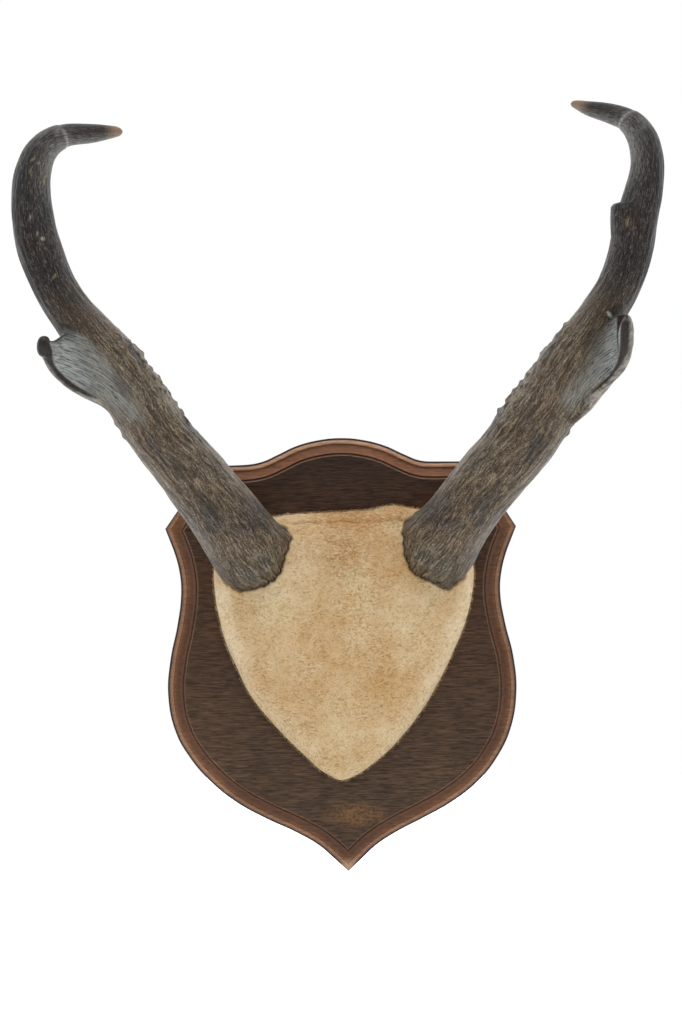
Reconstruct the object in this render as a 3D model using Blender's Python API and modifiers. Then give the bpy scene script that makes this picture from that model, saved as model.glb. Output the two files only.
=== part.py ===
"""Pronghorn antelope horns mounted on a hide-covered skull cap and a moulded wooden shield.

The shield's flat back lies on the plane Y = 0 and its front faces -Y. X is to the right as seen
from the front, Z is up, and the origin is the middle of the shield's back. All sizes are metres.
"""
import math

import bmesh
import bpy
from mathutils import Matrix, Vector
from mathutils.geometry import interpolate_bezier

MM = 0.001
GAP = 0.3 * MM                    # left between pieces that touch
CLEAR = 1.0 * MM                  # how far a cutter reaches past the face it cuts through

# The shield: its outline from the top centre down the right side to the tip, and from the tip
# up the left side, in mm. It was cut by hand, so its two sides differ a little.
SHIELD_THICKNESS = 19.0 * MM
SHIELD_RIGHT = [                  # x, z, True where the outline turns a sharp corner
    (0.0, 138.0, False), (14.0, 136.7, False), (28.5, 132.8, False), (40.0, 127.5, False),
    (50.5, 123.3, False), (62.0, 122.5, False), (85.5, 122.8, True), (112.4, 80.8, True),
    (106.4, 66.5, False), (102.3, 51.0, False), (101.5, 38.0, False), (104.4, 19.0, False),
    (109.6, -3.0, False), (111.3, -26.0, False), (107.1, -49.9, False), (99.0, -66.6, False),
    (87.4, -81.4, False), (70.1, -95.2, False), (51.2, -105.7, False), (33.0, -115.0, False),
    (20.2, -123.3, False), (11.2, -131.6, False), (2.7, -140.2, True),
]
SHIELD_LEFT = [
    (-6.2, -131.6, False), (-16.2, -122.9, False), (-30.6, -114.5, False), (-50.0, -105.4, False),
    (-69.2, -94.6, False), (-86.3, -80.4, False), (-98.4, -66.0, False), (-107.3, -49.8, False),
    (-112.0, -26.0, False), (-110.3, -3.0, False), (-105.7, 18.8, False), (-103.2, 38.0, False),
    (-103.8, 51.3, False), (-107.7, 66.9, False), (-113.4, 80.9, True), (-85.5, 121.0, True),
    (-62.0, 121.3, False), (-50.5, 123.2, False), (-40.0, 127.8, False), (-28.5, 133.1, False),
    (-14.0, 136.8, False),
]
OUTLINE_STEPS = 3                 # straight pieces for each stretch between two outline points
MOULDING = [                      # inset from the outer edge and height above the back, in mm
    (0.0, 9.0), (0.9, 11.8), (2.8, 13.2), (4.8, 13.5), (7.2, 14.0), (9.4, 15.4), (10.6, 17.6),
    (11.4, 19.0),
]

# The hide-covered cap: its outline on the shield's face, clockwise from the top centre, in mm.
CAP_OUTLINE = [
    (0.0, 90.5), (16.0, 91.2), (30.0, 93.4), (44.0, 92.4), (58.0, 90.5), (70.0, 85.0),
    (79.0, 74.0), (83.2, 60.0), (83.4, 44.0), (79.0, 22.3), (72.8, 6.5), (62.4, -15.2),
    (49.8, -36.8), (35.6, -54.5), (20.3, -68.6), (7.6, -77.0), (-1.0, -80.0), (-9.2, -76.9),
    (-24.4, -64.4), (-41.9, -46.6), (-56.9, -28.3), (-67.7, -7.1), (-74.2, 7.4), (-78.2, 22.4),
    (-80.8, 40.0), (-81.0, 58.0), (-77.0, 73.0), (-67.5, 83.5), (-56.0, 87.6), (-43.0, 88.0),
    (-26.3, 89.3), (-12.0, 90.0),
]
CAP_CENTRE = (0.0, 30.0)          # the point that the dome's rings close on, in mm
DOME_RINGS = [1.0, 0.97, 0.9, 0.74, 0.4]
DOME_POWER = 3.2                  # higher is flatter on top with a tighter edge
DOME_WALL = 3.0 * MM              # height of the upright edge that stands on the shield
DOME_LOW_Z = -60.0                # height on the board, in mm, where the dome starts to rise
DOME_SPAN = 110.0                 # length, in mm, over which it rises
DOME_HEIGHT_LOW = 24.0 * MM       # dome height near the bottom tip
DOME_HEIGHT_HIGH = 33.0 * MM      # dome height at the horns
HIDE_THICKNESS = 1.4 * MM
HORN_CLEARANCE = 0.5 * MM         # between a horn and the opening it stands in

# Each horn's middle line from its seat to its tip, in mm: x, z, height above the back,
# half width seen from the front, half depth seen from the side.
HORN_LEFT = [
    (-50.5, 56.2, 34.0, 26.0, 23.0), (-56.7, 65.0, 47.0, 25.0, 23.5),
    (-70.7, 86.2, 66.0, 22.6, 24.0), (-84.1, 104.9, 84.0, 21.0, 24.0),
    (-98.8, 124.4, 101.0, 19.4, 23.5), (-112.8, 141.6, 115.0, 18.2, 22.5),
    (-124.9, 160.0, 126.0, 17.0, 21.0), (-139.3, 180.7, 136.0, 16.2, 19.5),
    (-151.9, 198.9, 142.0, 14.5, 18.0), (-160.9, 211.6, 145.0, 13.5, 16.8),
    (-171.5, 229.7, 147.0, 12.9, 15.4), (-181.3, 255.9, 146.0, 13.2, 14.4),
    (-184.5, 282.6, 142.0, 11.8, 13.0), (-182.3, 301.7, 137.0, 10.4, 11.6),
    (-175.9, 313.4, 133.0, 8.9, 9.8), (-165.1, 319.8, 128.0, 7.4, 7.6),
    (-149.9, 321.6, 121.0, 5.9, 5.9), (-138.1, 323.0, 116.0, 4.0, 4.0),
    (-131.9, 323.4, 113.5, 1.7, 1.8),
]
HORN_RIGHT = [
    (54.0, 59.1, 34.0, 26.0, 23.5), (60.7, 68.7, 47.0, 25.0, 24.0),
    (73.5, 86.2, 64.0, 21.4, 24.5), (89.2, 107.7, 84.0, 20.9, 24.5),
    (102.8, 123.6, 99.0, 20.6, 24.0), (115.8, 140.7, 113.0, 20.4, 23.0),
    (127.5, 158.8, 125.0, 19.0, 21.5), (138.7, 178.9, 135.0, 16.6, 20.0),
    (149.5, 195.5, 141.0, 14.7, 18.5), (157.8, 208.2, 144.5, 13.6, 17.2),
    (167.0, 224.0, 146.5, 12.8, 15.8), (173.8, 242.0, 147.0, 12.9, 14.8),
    (178.4, 262.0, 145.0, 13.6, 14.2), (182.9, 280.0, 142.5, 11.6, 13.0),
    (185.5, 294.6, 140.0, 10.2, 12.0), (185.2, 307.0, 137.0, 9.6, 10.8),
    (182.0, 317.5, 134.0, 8.8, 9.5), (175.5, 325.7, 130.0, 7.5, 8.0),
    (164.8, 330.6, 125.0, 6.3, 6.2), (152.5, 334.3, 120.0, 4.5, 4.5),
    (145.6, 336.9, 117.5, 2.9, 3.0), (142.6, 337.7, 116.2, 1.8, 1.9),
]
# Each prong from inside the shaft out to its knob, in mm: x, z and height above the back of its
# upper edge, the same of its lower edge, and half the thickness of the blade between them.
PRONG_LEFT = [
    (-144.5, 193.7, 135.0, -124.8, 142.2, 120.0, 8.5),
    (-155.3, 200.0, 150.0, -140.4, 152.6, 136.0, 6.0),
    (-163.4, 199.0, 155.0, -155.7, 161.8, 148.0, 4.6),
    (-169.4, 195.4, 161.0, -167.8, 170.4, 156.0, 4.2),
    (-175.0, 196.2, 170.5, -176.0, 183.6, 168.0, 4.0),
]
PRONG_RIGHT = [
    (154.9, 200.6, 142.0, 133.5, 142.9, 126.0, 9.0),
    (163.0, 204.9, 155.0, 146.2, 148.6, 139.0, 7.0),
    (168.0, 206.3, 163.0, 155.7, 159.2, 151.0, 5.2),
    (169.9, 205.4, 175.0, 163.7, 168.8, 165.0, 4.6),
    (168.6, 202.6, 186.0, 168.0, 182.0, 180.0, 4.5),
]
SHAFT_SIDES = 18                  # corners of a shaft section
SHAFT_STEPS = 2                   # sections for each stretch between two stations
PRONG_SIDES = 12
PRONG_STEPS = 2
SEAT_BLEND = 34.0 * MM            # length over which sections turn from the seat to the shaft

# Fixings on the back.
CAP_SCREWS = {"left": (-27.0, 60.0), "right": (27.0, 60.0), "low": (0.0, -28.0)}   # x, z in mm
SCREW_LENGTH = 28.0 * MM
SCREW_RADIUS = 1.9 * MM
SCREW_HEAD_RADIUS = 4.1 * MM
SCREW_HEAD_HEIGHT = 3.0 * MM
SCREW_DOME = 0.9 * MM             # how far the head's rounded top stands above its edge
SCREW_SLOT = 1.1 * MM             # width and depth of the slot in a screw head
SCREW_HOLE_SPARE = 0.8 * MM       # depth left under a screw's point
COUNTERBORE_RADIUS = 5.0 * MM
COUNTERBORE_DEPTH = 6.0 * MM
HANGER_HEIGHT = 102.0 * MM        # height of the hanger's middle above the shield's middle
HANGER_LENGTH = 44.0 * MM
HANGER_WIDTH = 8.0 * MM
HANGER_THICKNESS = 0.8 * MM
HANGER_RISE = 1.4 * MM            # how far its middle stands clear of its ends
HANGER_FLAT = 5.0 * MM            # length of each end that lies flat in its recess
HANGER_RAMP = 2.0 * MM            # length of the bend from an end up to the raised middle
HANGER_TEETH = 9
TOOTH_PITCH = 3.0 * MM
TOOTH_DEPTH = 1.4 * MM
RECESS_DEPTH = 3.0 * MM
RECESS_MARGIN = 2.0 * MM
BRAD_OFFSET = 19.0 * MM           # from the hanger's middle to each nail
BRAD_HOLE_SPARE = 2.2 * MM        # depth left under a nail's point
BRAD_RADIUS = 0.55 * MM
BRAD_HEAD_RADIUS = 1.5 * MM
BRAD_HEAD_HEIGHT = 0.6 * MM
BRAD_LENGTH = 9.0 * MM
ROUND_SIDES = 12


def clear_scene():
    for obj in list(bpy.data.objects):
        bpy.data.objects.remove(obj, do_unlink=True)


def new_collection(name):
    collection = bpy.data.collections.new(name)
    bpy.context.scene.collection.children.link(collection)
    return collection


def srgb(code):
    """Linear colour of a six-digit sRGB hex code."""
    values = [int(code[i:i + 2], 16) / 255 for i in (0, 2, 4)]
    return [v / 12.92 if v <= 0.04045 else ((v + 0.055) / 1.055) ** 2.4 for v in values] + [1.0]


def material(name, code, roughness, metallic=0.0):
    made = bpy.data.materials.new(name)
    made.use_nodes = True
    shader = made.node_tree.nodes["Principled BSDF"]
    shader.inputs["Base Color"].default_value = srgb(code)
    shader.inputs["Roughness"].default_value = roughness
    shader.inputs["Metallic"].default_value = metallic
    return made


def walnut():
    return material("stained_walnut", "4A3426", 0.42)


def horn_sheath():
    return material("horn_sheath", "4C443D", 0.62)


def buckskin():
    return material("buckskin", "D0B184", 0.95)


def carved_pine():
    return material("carved_pine", "C9A877", 0.8)


def plated_steel():
    return material("zinc_plated_steel", "B9B7AE", 0.38, 1.0)


def brassed_steel():
    return material("brassed_steel", "B08D4A", 0.36, 1.0)


def add_object(name, mesh, collection, finish=None):
    obj = bpy.data.objects.new(name, mesh)
    collection.objects.link(obj)
    if finish:
        mesh.materials.append(finish)
    return obj


def finish_mesh(bm, name):
    """Close a bmesh into a mesh with its faces pointing out."""
    bmesh.ops.recalc_face_normals(bm, faces=bm.faces)
    if bm.calc_volume(signed=True) < 0:
        bmesh.ops.reverse_faces(bm, faces=bm.faces)
    mesh = bpy.data.meshes.new(name)
    bm.to_mesh(mesh)
    bm.free()
    return mesh


def smooth(mesh, degrees=35):
    mesh.shade_smooth()
    mesh.set_sharp_from_angle(angle=math.radians(degrees))


def boolean(obj, cutter, operation):
    cut = obj.modifiers.new(cutter.name, "BOOLEAN")
    cut.operation = operation
    cut.solver = "EXACT"
    cut.object = cutter


def as_cutter(obj):
    obj.hide_render = True
    obj.display_type = "WIRE"
    return obj


def turned_mesh(name, profile):
    """A body turned about Z from a profile that runs down its outer side."""
    bm = bmesh.new()
    points = [bm.verts.new((radius, 0.0, height)) for radius, height in profile]
    for first, second in zip(points, points[1:]):
        bm.edges.new((first, second))
    mesh = bpy.data.meshes.new(name)
    bm.to_mesh(mesh)
    bm.free()
    return mesh


def turned(name, profile, collection, finish=None):
    obj = add_object(name, turned_mesh(name, profile), collection, finish)
    screw = obj.modifiers.new("turn", "SCREW")
    screw.steps = ROUND_SIDES
    screw.render_steps = ROUND_SIDES
    screw.use_merge_vertices = True
    screw.merge_threshold = 0.01 * MM
    return obj


def place_on_back(obj, x, z, depth):
    """Stand a turned body on the shield's back, with its top facing the wall."""
    obj.rotation_euler = (math.radians(-90), 0.0, 0.0)
    obj.location = (x, -depth, z)


def rod_cutter(name, x, z, start, end, radius, collection):
    """A round cutter from one depth to another, measured from the shield's back."""
    length = end - start
    obj = turned(name, [(0.0, 0.0), (radius, 0.0), (radius, -length), (0.0, -length)], collection)
    place_on_back(obj, x, z, start)
    return as_cutter(obj)


def smooth_ring(points, corners, steps):
    """A closed ring of points on a Bezier curve that turns sharply only at the corners.

    A stretch that meets a corner stays one straight piece, so that the moulding can be inset
    past the corner without folding over.
    """
    curve = bpy.data.curves.new("outline", "CURVE")
    spline = curve.splines.new("BEZIER")
    spline.bezier_points.add(len(points) - 1)
    spline.use_cyclic_u = True
    for knot, (x, z), corner in zip(spline.bezier_points, points, corners):
        knot.co = (x, z, 0.0)
        kind = "VECTOR" if corner else "AUTO"
        knot.handle_left_type = kind
        knot.handle_right_type = kind
    guide = bpy.data.objects.new("outline", curve)
    bpy.context.scene.collection.objects.link(guide)
    bpy.context.view_layer.update()
    knots = list(spline.bezier_points)
    ring = []
    for i, knot in enumerate(knots):
        following = knots[(i + 1) % len(knots)]
        pieces = 1 if corners[i] or corners[(i + 1) % len(knots)] else steps
        stretch = interpolate_bezier(knot.co, knot.handle_right, following.handle_left,
                                     following.co, pieces + 1)
        ring += [(point.x, point.y) for point in stretch[:-1]]
    bpy.data.objects.remove(guide, do_unlink=True)
    return ring


def shield_ring():
    """The shield's whole outline."""
    both = SHIELD_RIGHT + SHIELD_LEFT
    return smooth_ring([(x * MM, z * MM) for x, z, _ in both], [corner for _, _, corner in both],
                       OUTLINE_STEPS)


def shield_blank(ring):
    """The board with its moulded edge, made by insetting and raising the front face."""
    bm = bmesh.new()
    back = bm.faces.new([bm.verts.new((x, 0.0, z)) for x, z in ring])
    raised = bmesh.ops.extrude_face_region(bm, geom=[back])
    front = [item for item in raised["geom"] if isinstance(item, bmesh.types.BMFace)][0]
    if front.normal.y > 0:
        front.normal_flip()
    inset, height = 0.0, 0.0
    for next_inset, next_height in MOULDING:
        if next_inset > inset:
            bmesh.ops.inset_region(bm, faces=[front], thickness=(next_inset - inset) * MM,
                                   use_even_offset=True, use_boundary=True)
        for vert in front.verts:
            vert.co.y -= (next_height - height) * MM
        inset, height = next_inset, next_height
    return finish_mesh(bm, "shield_plaque")


def recess_cutter(collection):
    bpy.ops.mesh.primitive_cube_add(size=1.0, location=(0.0, 0.0, HANGER_HEIGHT))
    obj = bpy.context.object
    obj.name = "hanger_recess"
    obj.scale = (HANGER_LENGTH + 2 * RECESS_MARGIN, 2 * RECESS_DEPTH, HANGER_WIDTH + 2 * RECESS_MARGIN)
    for linked in list(obj.users_collection):
        linked.objects.unlink(obj)
    collection.objects.link(obj)
    return as_cutter(obj)


def make_shield(parts, cutters):
    shield = add_object("shield_plaque", shield_blank(shield_ring()), parts, walnut())
    boolean(shield, recess_cutter(cutters), "DIFFERENCE")
    for side, (x, z) in CAP_SCREWS.items():
        x, z = x * MM, z * MM
        bore = rod_cutter("counterbore_" + side, x, z, -CLEAR, COUNTERBORE_DEPTH,
                          COUNTERBORE_RADIUS, cutters)
        hole = rod_cutter("screw_hole_" + side, x, z, 0.0, SHIELD_THICKNESS + CLEAR,
                          SCREW_RADIUS + GAP, cutters)
        boolean(shield, bore, "DIFFERENCE")
        boolean(shield, hole, "DIFFERENCE")
    for side, sign in (("left", -1), ("right", 1)):
        hole = rod_cutter("brad_hole_" + side, sign * BRAD_OFFSET, HANGER_HEIGHT, 0.0,
                          BRAD_LENGTH + BRAD_HOLE_SPARE, BRAD_RADIUS + GAP, cutters)
        boolean(shield, hole, "DIFFERENCE")
    return shield


def dome_height(x, z, share):
    """Height of the dome above the shield, at a share of the way out to its outline."""
    up = min(1.0, max(0.0, (z / MM - DOME_LOW_Z) / DOME_SPAN))
    top = DOME_HEIGHT_LOW + (DOME_HEIGHT_HIGH - DOME_HEIGHT_LOW) * up * up * (3 - 2 * up)
    return DOME_WALL + (top - DOME_WALL) * math.sqrt(max(0.0, 1.0 - share ** DOME_POWER))


def dome_surface():
    """The cap's outer skin as rings that shrink from its outline to its middle."""
    ring = smooth_ring([(x * MM, z * MM) for x, z in CAP_OUTLINE], [False] * len(CAP_OUTLINE), 2)
    cx, cz = CAP_CENTRE[0] * MM, CAP_CENTRE[1] * MM
    base = SHIELD_THICKNESS + GAP
    bm = bmesh.new()
    rings = [[bm.verts.new((x, -base, z)) for x, z in ring]]
    for share in DOME_RINGS:
        row = []
        for x, z in ring:
            px, pz = cx + (x - cx) * share, cz + (z - cz) * share
            row.append(bm.verts.new((px, -base - dome_height(px, pz, share), pz)))
        rings.append(row)
    top = bm.verts.new((cx, -base - dome_height(cx, cz, 0.0), cz))
    count = len(ring)
    for outer, inner in zip(rings, rings[1:]):
        for i in range(count):
            j = (i + 1) % count
            bm.faces.new((outer[i], outer[j], inner[j], inner[i]))
    for i in range(count):
        bm.faces.new((rings[-1][i], rings[-1][(i + 1) % count], top))
    bmesh.ops.recalc_face_normals(bm, faces=bm.faces)
    if top.link_faces[0].normal.y > 0:
        bmesh.ops.reverse_faces(bm, faces=bm.faces)
    bm.normal_update()
    return bm


def make_hide(parts, horn_cutters):
    """A thin hide over the dome, open at the back and around each horn."""
    bm = dome_surface()
    mesh = bpy.data.meshes.new("hide_cover")
    bm.to_mesh(mesh)
    bm.free()
    hide = add_object("hide_cover", mesh, parts, buckskin())
    shell = hide.modifiers.new("thickness", "SOLIDIFY")
    shell.thickness = HIDE_THICKNESS
    shell.offset = -1.0
    for cutter in horn_cutters:
        boolean(hide, cutter, "DIFFERENCE")
    smooth(mesh, 60)
    return hide


def make_cap(parts, cutters, horn_cutters):
    """The solid cap inside the hide, with a seat for each horn and a hole for each screw."""
    bm = dome_surface()
    inward = HIDE_THICKNESS + 1.5 * GAP
    rim = [v for v in bm.verts if v.is_boundary]
    moved = {v: v.co - v.normal * (inward * v.calc_shell_factor()) for v in bm.verts}
    for vert, place in moved.items():
        vert.co = place
    base = -(SHIELD_THICKNESS + GAP)
    for vert in rim:
        vert.co.y = base
    edges = [e for e in bm.edges if e.is_boundary]
    bmesh.ops.contextual_create(bm, geom=edges)
    cap = add_object("skull_cap", finish_mesh(bm, "skull_cap"), parts, carved_pine())
    for cutter in horn_cutters:
        boolean(cap, cutter, "DIFFERENCE")
    depth = COUNTERBORE_DEPTH + SCREW_LENGTH + SCREW_HOLE_SPARE
    for side, (x, z) in CAP_SCREWS.items():
        hole = rod_cutter("pilot_" + side, x * MM, z * MM, SHIELD_THICKNESS - CLEAR, depth,
                          SCREW_RADIUS + GAP, cutters)
        boolean(cap, hole, "DIFFERENCE")
    return cap


def spline_value(values, index, t):
    """Catmull-Rom between values[index] and values[index + 1], for tuples of numbers."""
    last = len(values) - 1
    picks = [values[min(max(index + step, 0), last)] for step in (-1, 0, 1, 2)]
    result = []
    for a, b, c, d in zip(*picks):
        result.append(0.5 * (2 * b + (c - a) * t + (2 * a - 5 * b + 4 * c - d) * t * t
                             + (3 * b - a - 3 * c + d) * t ** 3))
    return result


def filled_in(table, steps):
    """The rows of a table in mm with smooth rows between them, turned to metres."""
    rows = []
    for index in range(len(table) - 1):
        for step in range(steps):
            rows.append(spline_value(table, index, step / steps))
    rows.append(list(table[-1]))
    return [[value * MM for value in row] for row in rows]


def directions(centres):
    """Unit direction of travel at each centre."""
    found = []
    for i in range(len(centres)):
        before = centres[max(i - 1, 0)]
        after = centres[min(i + 1, len(centres) - 1)]
        found.append((after - before).normalized())
    return found


def loft(rings, tip=None):
    """A closed skin over rings of points, capped at its start and drawn to a tip at its end."""
    bm = bmesh.new()
    rows = [[bm.verts.new(point) for point in ring] for ring in rings]
    count = len(rows[0])
    for first, second in zip(rows, rows[1:]):
        for i in range(count):
            j = (i + 1) % count
            bm.faces.new((first[i], first[j], second[j], second[i]))
    bm.faces.new(rows[0])
    if tip is None:
        bm.faces.new(rows[-1])
    else:
        end = bm.verts.new(tip)
        for i in range(count):
            bm.faces.new((rows[-1][i], rows[-1][(i + 1) % count], end))
    return bm


def oval(centre, first, second, sides):
    """Points round an oval whose two half axes are given as vectors."""
    turns = [2 * math.pi * k / sides for k in range(sides)]
    return [centre + first * math.cos(turn) + second * math.sin(turn) for turn in turns]


def shaft_rings(table, extra):
    """Oval sections of a shaft: flat on the cap at its seat, square to the shaft above."""
    placed = filled_in(table, SHAFT_STEPS)
    centres = [Vector((x, -height, z)) for x, z, height, _, _ in placed]
    travel = directions(centres)
    along, rings = 0.0, []
    for i, (centre, onward) in enumerate(zip(centres, travel)):
        if i:
            along += (centre - centres[i - 1]).length
        side = onward.cross(Vector((0.0, 1.0, 0.0))).normalized()
        front = side.cross(onward).normalized()
        seat = side.cross(Vector((0.0, -1.0, 0.0))).normalized()
        share = min(1.0, along / SEAT_BLEND)
        front = seat.lerp(front, share * share * (3 - 2 * share)).normalized()
        half_width, half_depth = placed[i][3] + extra, placed[i][4] + extra
        rings.append(oval(centre, side * half_width, front * half_depth, SHAFT_SIDES))
    tip = centres[-1] + travel[-1] * (placed[-1][3] + extra)
    if extra:
        rings[0] = [point + Vector((0.0, extra, 0.0)) for point in rings[0]]
    return rings, tip


def prong_rings(table):
    """Flat oval sections of a prong, long from its upper edge to its lower, with a rounded end."""
    placed = filled_in(table, PRONG_STEPS)
    uppers = [Vector((row[0], -row[2], row[1])) for row in placed]
    lowers = [Vector((row[3], -row[5], row[4])) for row in placed]
    centres = [(upper + lower) / 2 for upper, lower in zip(uppers, lowers)]
    travel = directions(centres)
    rings = []
    for centre, upper, onward, row in zip(centres, uppers, travel, placed):
        across = onward.cross(upper - centre).normalized()
        rings.append(oval(centre, upper - centre, across * row[6], PRONG_SIDES))
    centre, thick = centres[-1], placed[-1][6]
    rings.append([centre + (point - centre) * 0.6 + travel[-1] * thick * 0.6 for point in rings[-1]])
    return rings, centre + travel[-1] * thick * 0.9


def shaft_object(name, table, extra, collection, finish=None):
    rings, tip = shaft_rings(table, extra)
    return add_object(name, finish_mesh(loft(rings, tip), name), collection, finish)


def make_horn(name, table, prong, parts, cutters):
    """One horn: its shaft and its prong joined in one solid."""
    horn = shaft_object(name, table, 0.0, parts, horn_sheath())
    rings, tip = prong_rings(prong)
    blade = add_object(name + "_prong", finish_mesh(loft(rings, tip), name + "_prong"), cutters)
    boolean(horn, as_cutter(blade), "UNION")
    smooth(horn.data, 50)
    return horn


def screw_profile():
    """A screw from the top of its domed head down to its point, standing on its point."""
    head, shank, length, dome = SCREW_HEAD_RADIUS, SCREW_RADIUS, SCREW_LENGTH, SCREW_DOME
    return [(0.0, 0.0), (head * 0.55, -0.1 * dome), (head * 0.88, -0.5 * dome), (head, -dome * 1.6),
            (head, -SCREW_HEAD_HEIGHT), (shank, -SCREW_HEAD_HEIGHT), (shank, -length * 0.86), (0.0, -length)]


def make_cap_screws(parts, cutters):
    steel = plated_steel()
    top = COUNTERBORE_DEPTH - GAP - SCREW_HEAD_HEIGHT
    for side, (x, z) in CAP_SCREWS.items():
        screw = turned("cap_screw_" + side, screw_profile(), parts, steel)
        place_on_back(screw, x * MM, z * MM, top)
        bpy.ops.mesh.primitive_cube_add(size=1.0, location=(x * MM, -top, z * MM))
        slot = bpy.context.object
        slot.name = "slot_" + side
        slot.scale = (3 * SCREW_HEAD_RADIUS, 2 * SCREW_SLOT, SCREW_SLOT)
        slot.rotation_euler = (0.0, math.radians(x), 0.0)     # each was driven home at its own angle
        for linked in list(slot.users_collection):
            linked.objects.unlink(slot)
        cutters.objects.link(slot)
        boolean(screw, as_cutter(slot), "DIFFERENCE")


def hanger_outline():
    """Outline of the hanger strip about its own middle, with teeth along its lower edge."""
    half, low, high = HANGER_LENGTH / 2, -HANGER_WIDTH / 2, HANGER_WIDTH / 2
    flat = half - HANGER_FLAT
    bend = flat - HANGER_RAMP
    points = [(-half, high), (-flat, high), (-bend, high), (bend, high), (flat, high), (half, high),
              (half, low), (flat, low), (bend, low)]
    start = HANGER_TEETH * TOOTH_PITCH / 2
    for tooth in range(HANGER_TEETH):
        right = start - tooth * TOOTH_PITCH
        points += [(right, low), (right - TOOTH_PITCH / 2, low + TOOTH_DEPTH)]
    points += [(-start, low), (-bend, low), (-flat, low), (-half, low)]
    return points


def add_loop(curve, points):
    spline = curve.splines.new("POLY")
    spline.points.add(len(points) - 1)
    spline.use_cyclic_u = True
    for point, (x, y) in zip(spline.points, points):
        point.co = (x, y, 0.0, 1.0)


def make_hanger(parts):
    """A sawtooth strip: a flat outline with two nail holes, its middle pressed clear of its ends."""
    curve = bpy.data.curves.new("hanger_strip", "CURVE")
    curve.dimensions = "2D"
    curve.fill_mode = "BOTH"
    curve.extrude = HANGER_THICKNESS / 2
    add_loop(curve, hanger_outline())
    for sign in (-1, 1):
        turns = [2 * math.pi * k / ROUND_SIDES for k in range(ROUND_SIDES)]
        radius = BRAD_RADIUS + GAP
        add_loop(curve, [(sign * BRAD_OFFSET + radius * math.cos(t), radius * math.sin(t)) for t in turns])
    flat = bpy.data.objects.new("hanger_flat", curve)
    parts.objects.link(flat)
    bpy.context.view_layer.update()
    mesh = bpy.data.meshes.new_from_object(flat.evaluated_get(bpy.context.evaluated_depsgraph_get()))
    bpy.data.objects.remove(flat, do_unlink=True)
    bm = bmesh.new()
    bm.from_mesh(mesh)
    bmesh.ops.remove_doubles(bm, verts=bm.verts, dist=0.001 * MM)
    turn = Matrix.Rotation(math.radians(-90), 4, "X")
    bm.transform(turn)
    floor = RECESS_DEPTH - GAP - HANGER_THICKNESS / 2
    flat = HANGER_LENGTH / 2 - HANGER_FLAT
    for vert in bm.verts:
        rise = min(1.0, max(0.0, (flat - abs(vert.co.x)) / HANGER_RAMP))
        vert.co.y += HANGER_RISE * rise - floor
        vert.co.z += HANGER_HEIGHT
    return add_object("hanger_strip", finish_mesh(bm, "hanger_strip"), parts, brassed_steel())


def make_brads(parts):
    brass = brassed_steel()
    head, radius, height = BRAD_HEAD_RADIUS, BRAD_RADIUS, BRAD_HEAD_HEIGHT
    profile = [(0.0, 0.0), (head * 0.8, 0.0), (head, -0.25 * height), (head, -height), (radius, -height),
               (radius, -BRAD_LENGTH * 0.9), (0.0, -BRAD_LENGTH)]
    top = RECESS_DEPTH - GAP - HANGER_THICKNESS - GAP - height
    for side, sign in (("left", -1), ("right", 1)):
        brad = turned("hanger_brad_" + side, profile, parts, brass)
        place_on_back(brad, sign * BRAD_OFFSET, HANGER_HEIGHT, top)


def main():
    clear_scene()
    parts = new_collection("antelope_horn_mount")
    cutters = new_collection("cutters")
    make_shield(parts, cutters)
    openings = []
    for name, table in (("horn_left", HORN_LEFT), ("horn_right", HORN_RIGHT)):
        openings.append(as_cutter(shaft_object(name + "_opening", table[:7], HORN_CLEARANCE, cutters)))
    make_hide(parts, openings)
    make_cap(parts, cutters, openings)
    make_horn("horn_left", HORN_LEFT, PRONG_LEFT, parts, cutters)
    make_horn("horn_right", HORN_RIGHT, PRONG_RIGHT, parts, cutters)
    make_cap_screws(parts, cutters)
    make_hanger(parts)
    make_brads(parts)


main()
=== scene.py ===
"""The looks of a pair of pronghorn horns on a hide-covered skull cap and a moulded wooden shield.

Everything is in metres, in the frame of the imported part: the shield's flat back is the plane Y = 0,
its front faces -Y, X is to the right as seen from the front and Z is up.
"""
import math
from contextlib import contextmanager

import bmesh
import bpy
import numpy as np
from mathutils import Matrix, Vector, noise
from mathutils.bvhtree import BVHTree
from mathutils.geometry import interpolate_bezier
from mathutils.kdtree import KDTree

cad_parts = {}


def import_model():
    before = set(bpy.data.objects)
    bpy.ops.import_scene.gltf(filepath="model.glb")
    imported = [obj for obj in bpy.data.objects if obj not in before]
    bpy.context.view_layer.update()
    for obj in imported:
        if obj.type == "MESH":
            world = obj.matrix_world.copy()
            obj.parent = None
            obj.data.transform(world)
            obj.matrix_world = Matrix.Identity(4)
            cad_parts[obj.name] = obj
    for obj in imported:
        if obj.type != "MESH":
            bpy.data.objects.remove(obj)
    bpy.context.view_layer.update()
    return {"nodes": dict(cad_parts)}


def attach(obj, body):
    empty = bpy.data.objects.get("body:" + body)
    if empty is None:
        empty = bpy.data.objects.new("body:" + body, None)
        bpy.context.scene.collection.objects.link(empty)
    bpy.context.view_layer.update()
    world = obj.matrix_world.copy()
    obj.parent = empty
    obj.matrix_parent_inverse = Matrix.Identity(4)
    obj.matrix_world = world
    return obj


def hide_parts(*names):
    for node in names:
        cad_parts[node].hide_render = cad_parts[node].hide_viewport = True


MM = 0.001

# The photograph's viewpoint.
CAMERA_DISTANCE = 2.1             # from the lens to the face of the shield
VIEW_CENTRE = (-0.17 * MM, 90.6 * MM)   # x and z of the point in the middle of the picture
VIEW_HEIGHT = 653.3 * MM          # what the picture takes in at the face of the shield
CAMERA_ROLL = -0.5                # degrees, the photographer held it a little clockwise
SENSOR = 36.0                     # long side of the sensor, in mm
FLOOR_LEVEL = -0.32               # the floor that the mount is photographed over
FLOOR_RADIUS = 3.0

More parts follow.
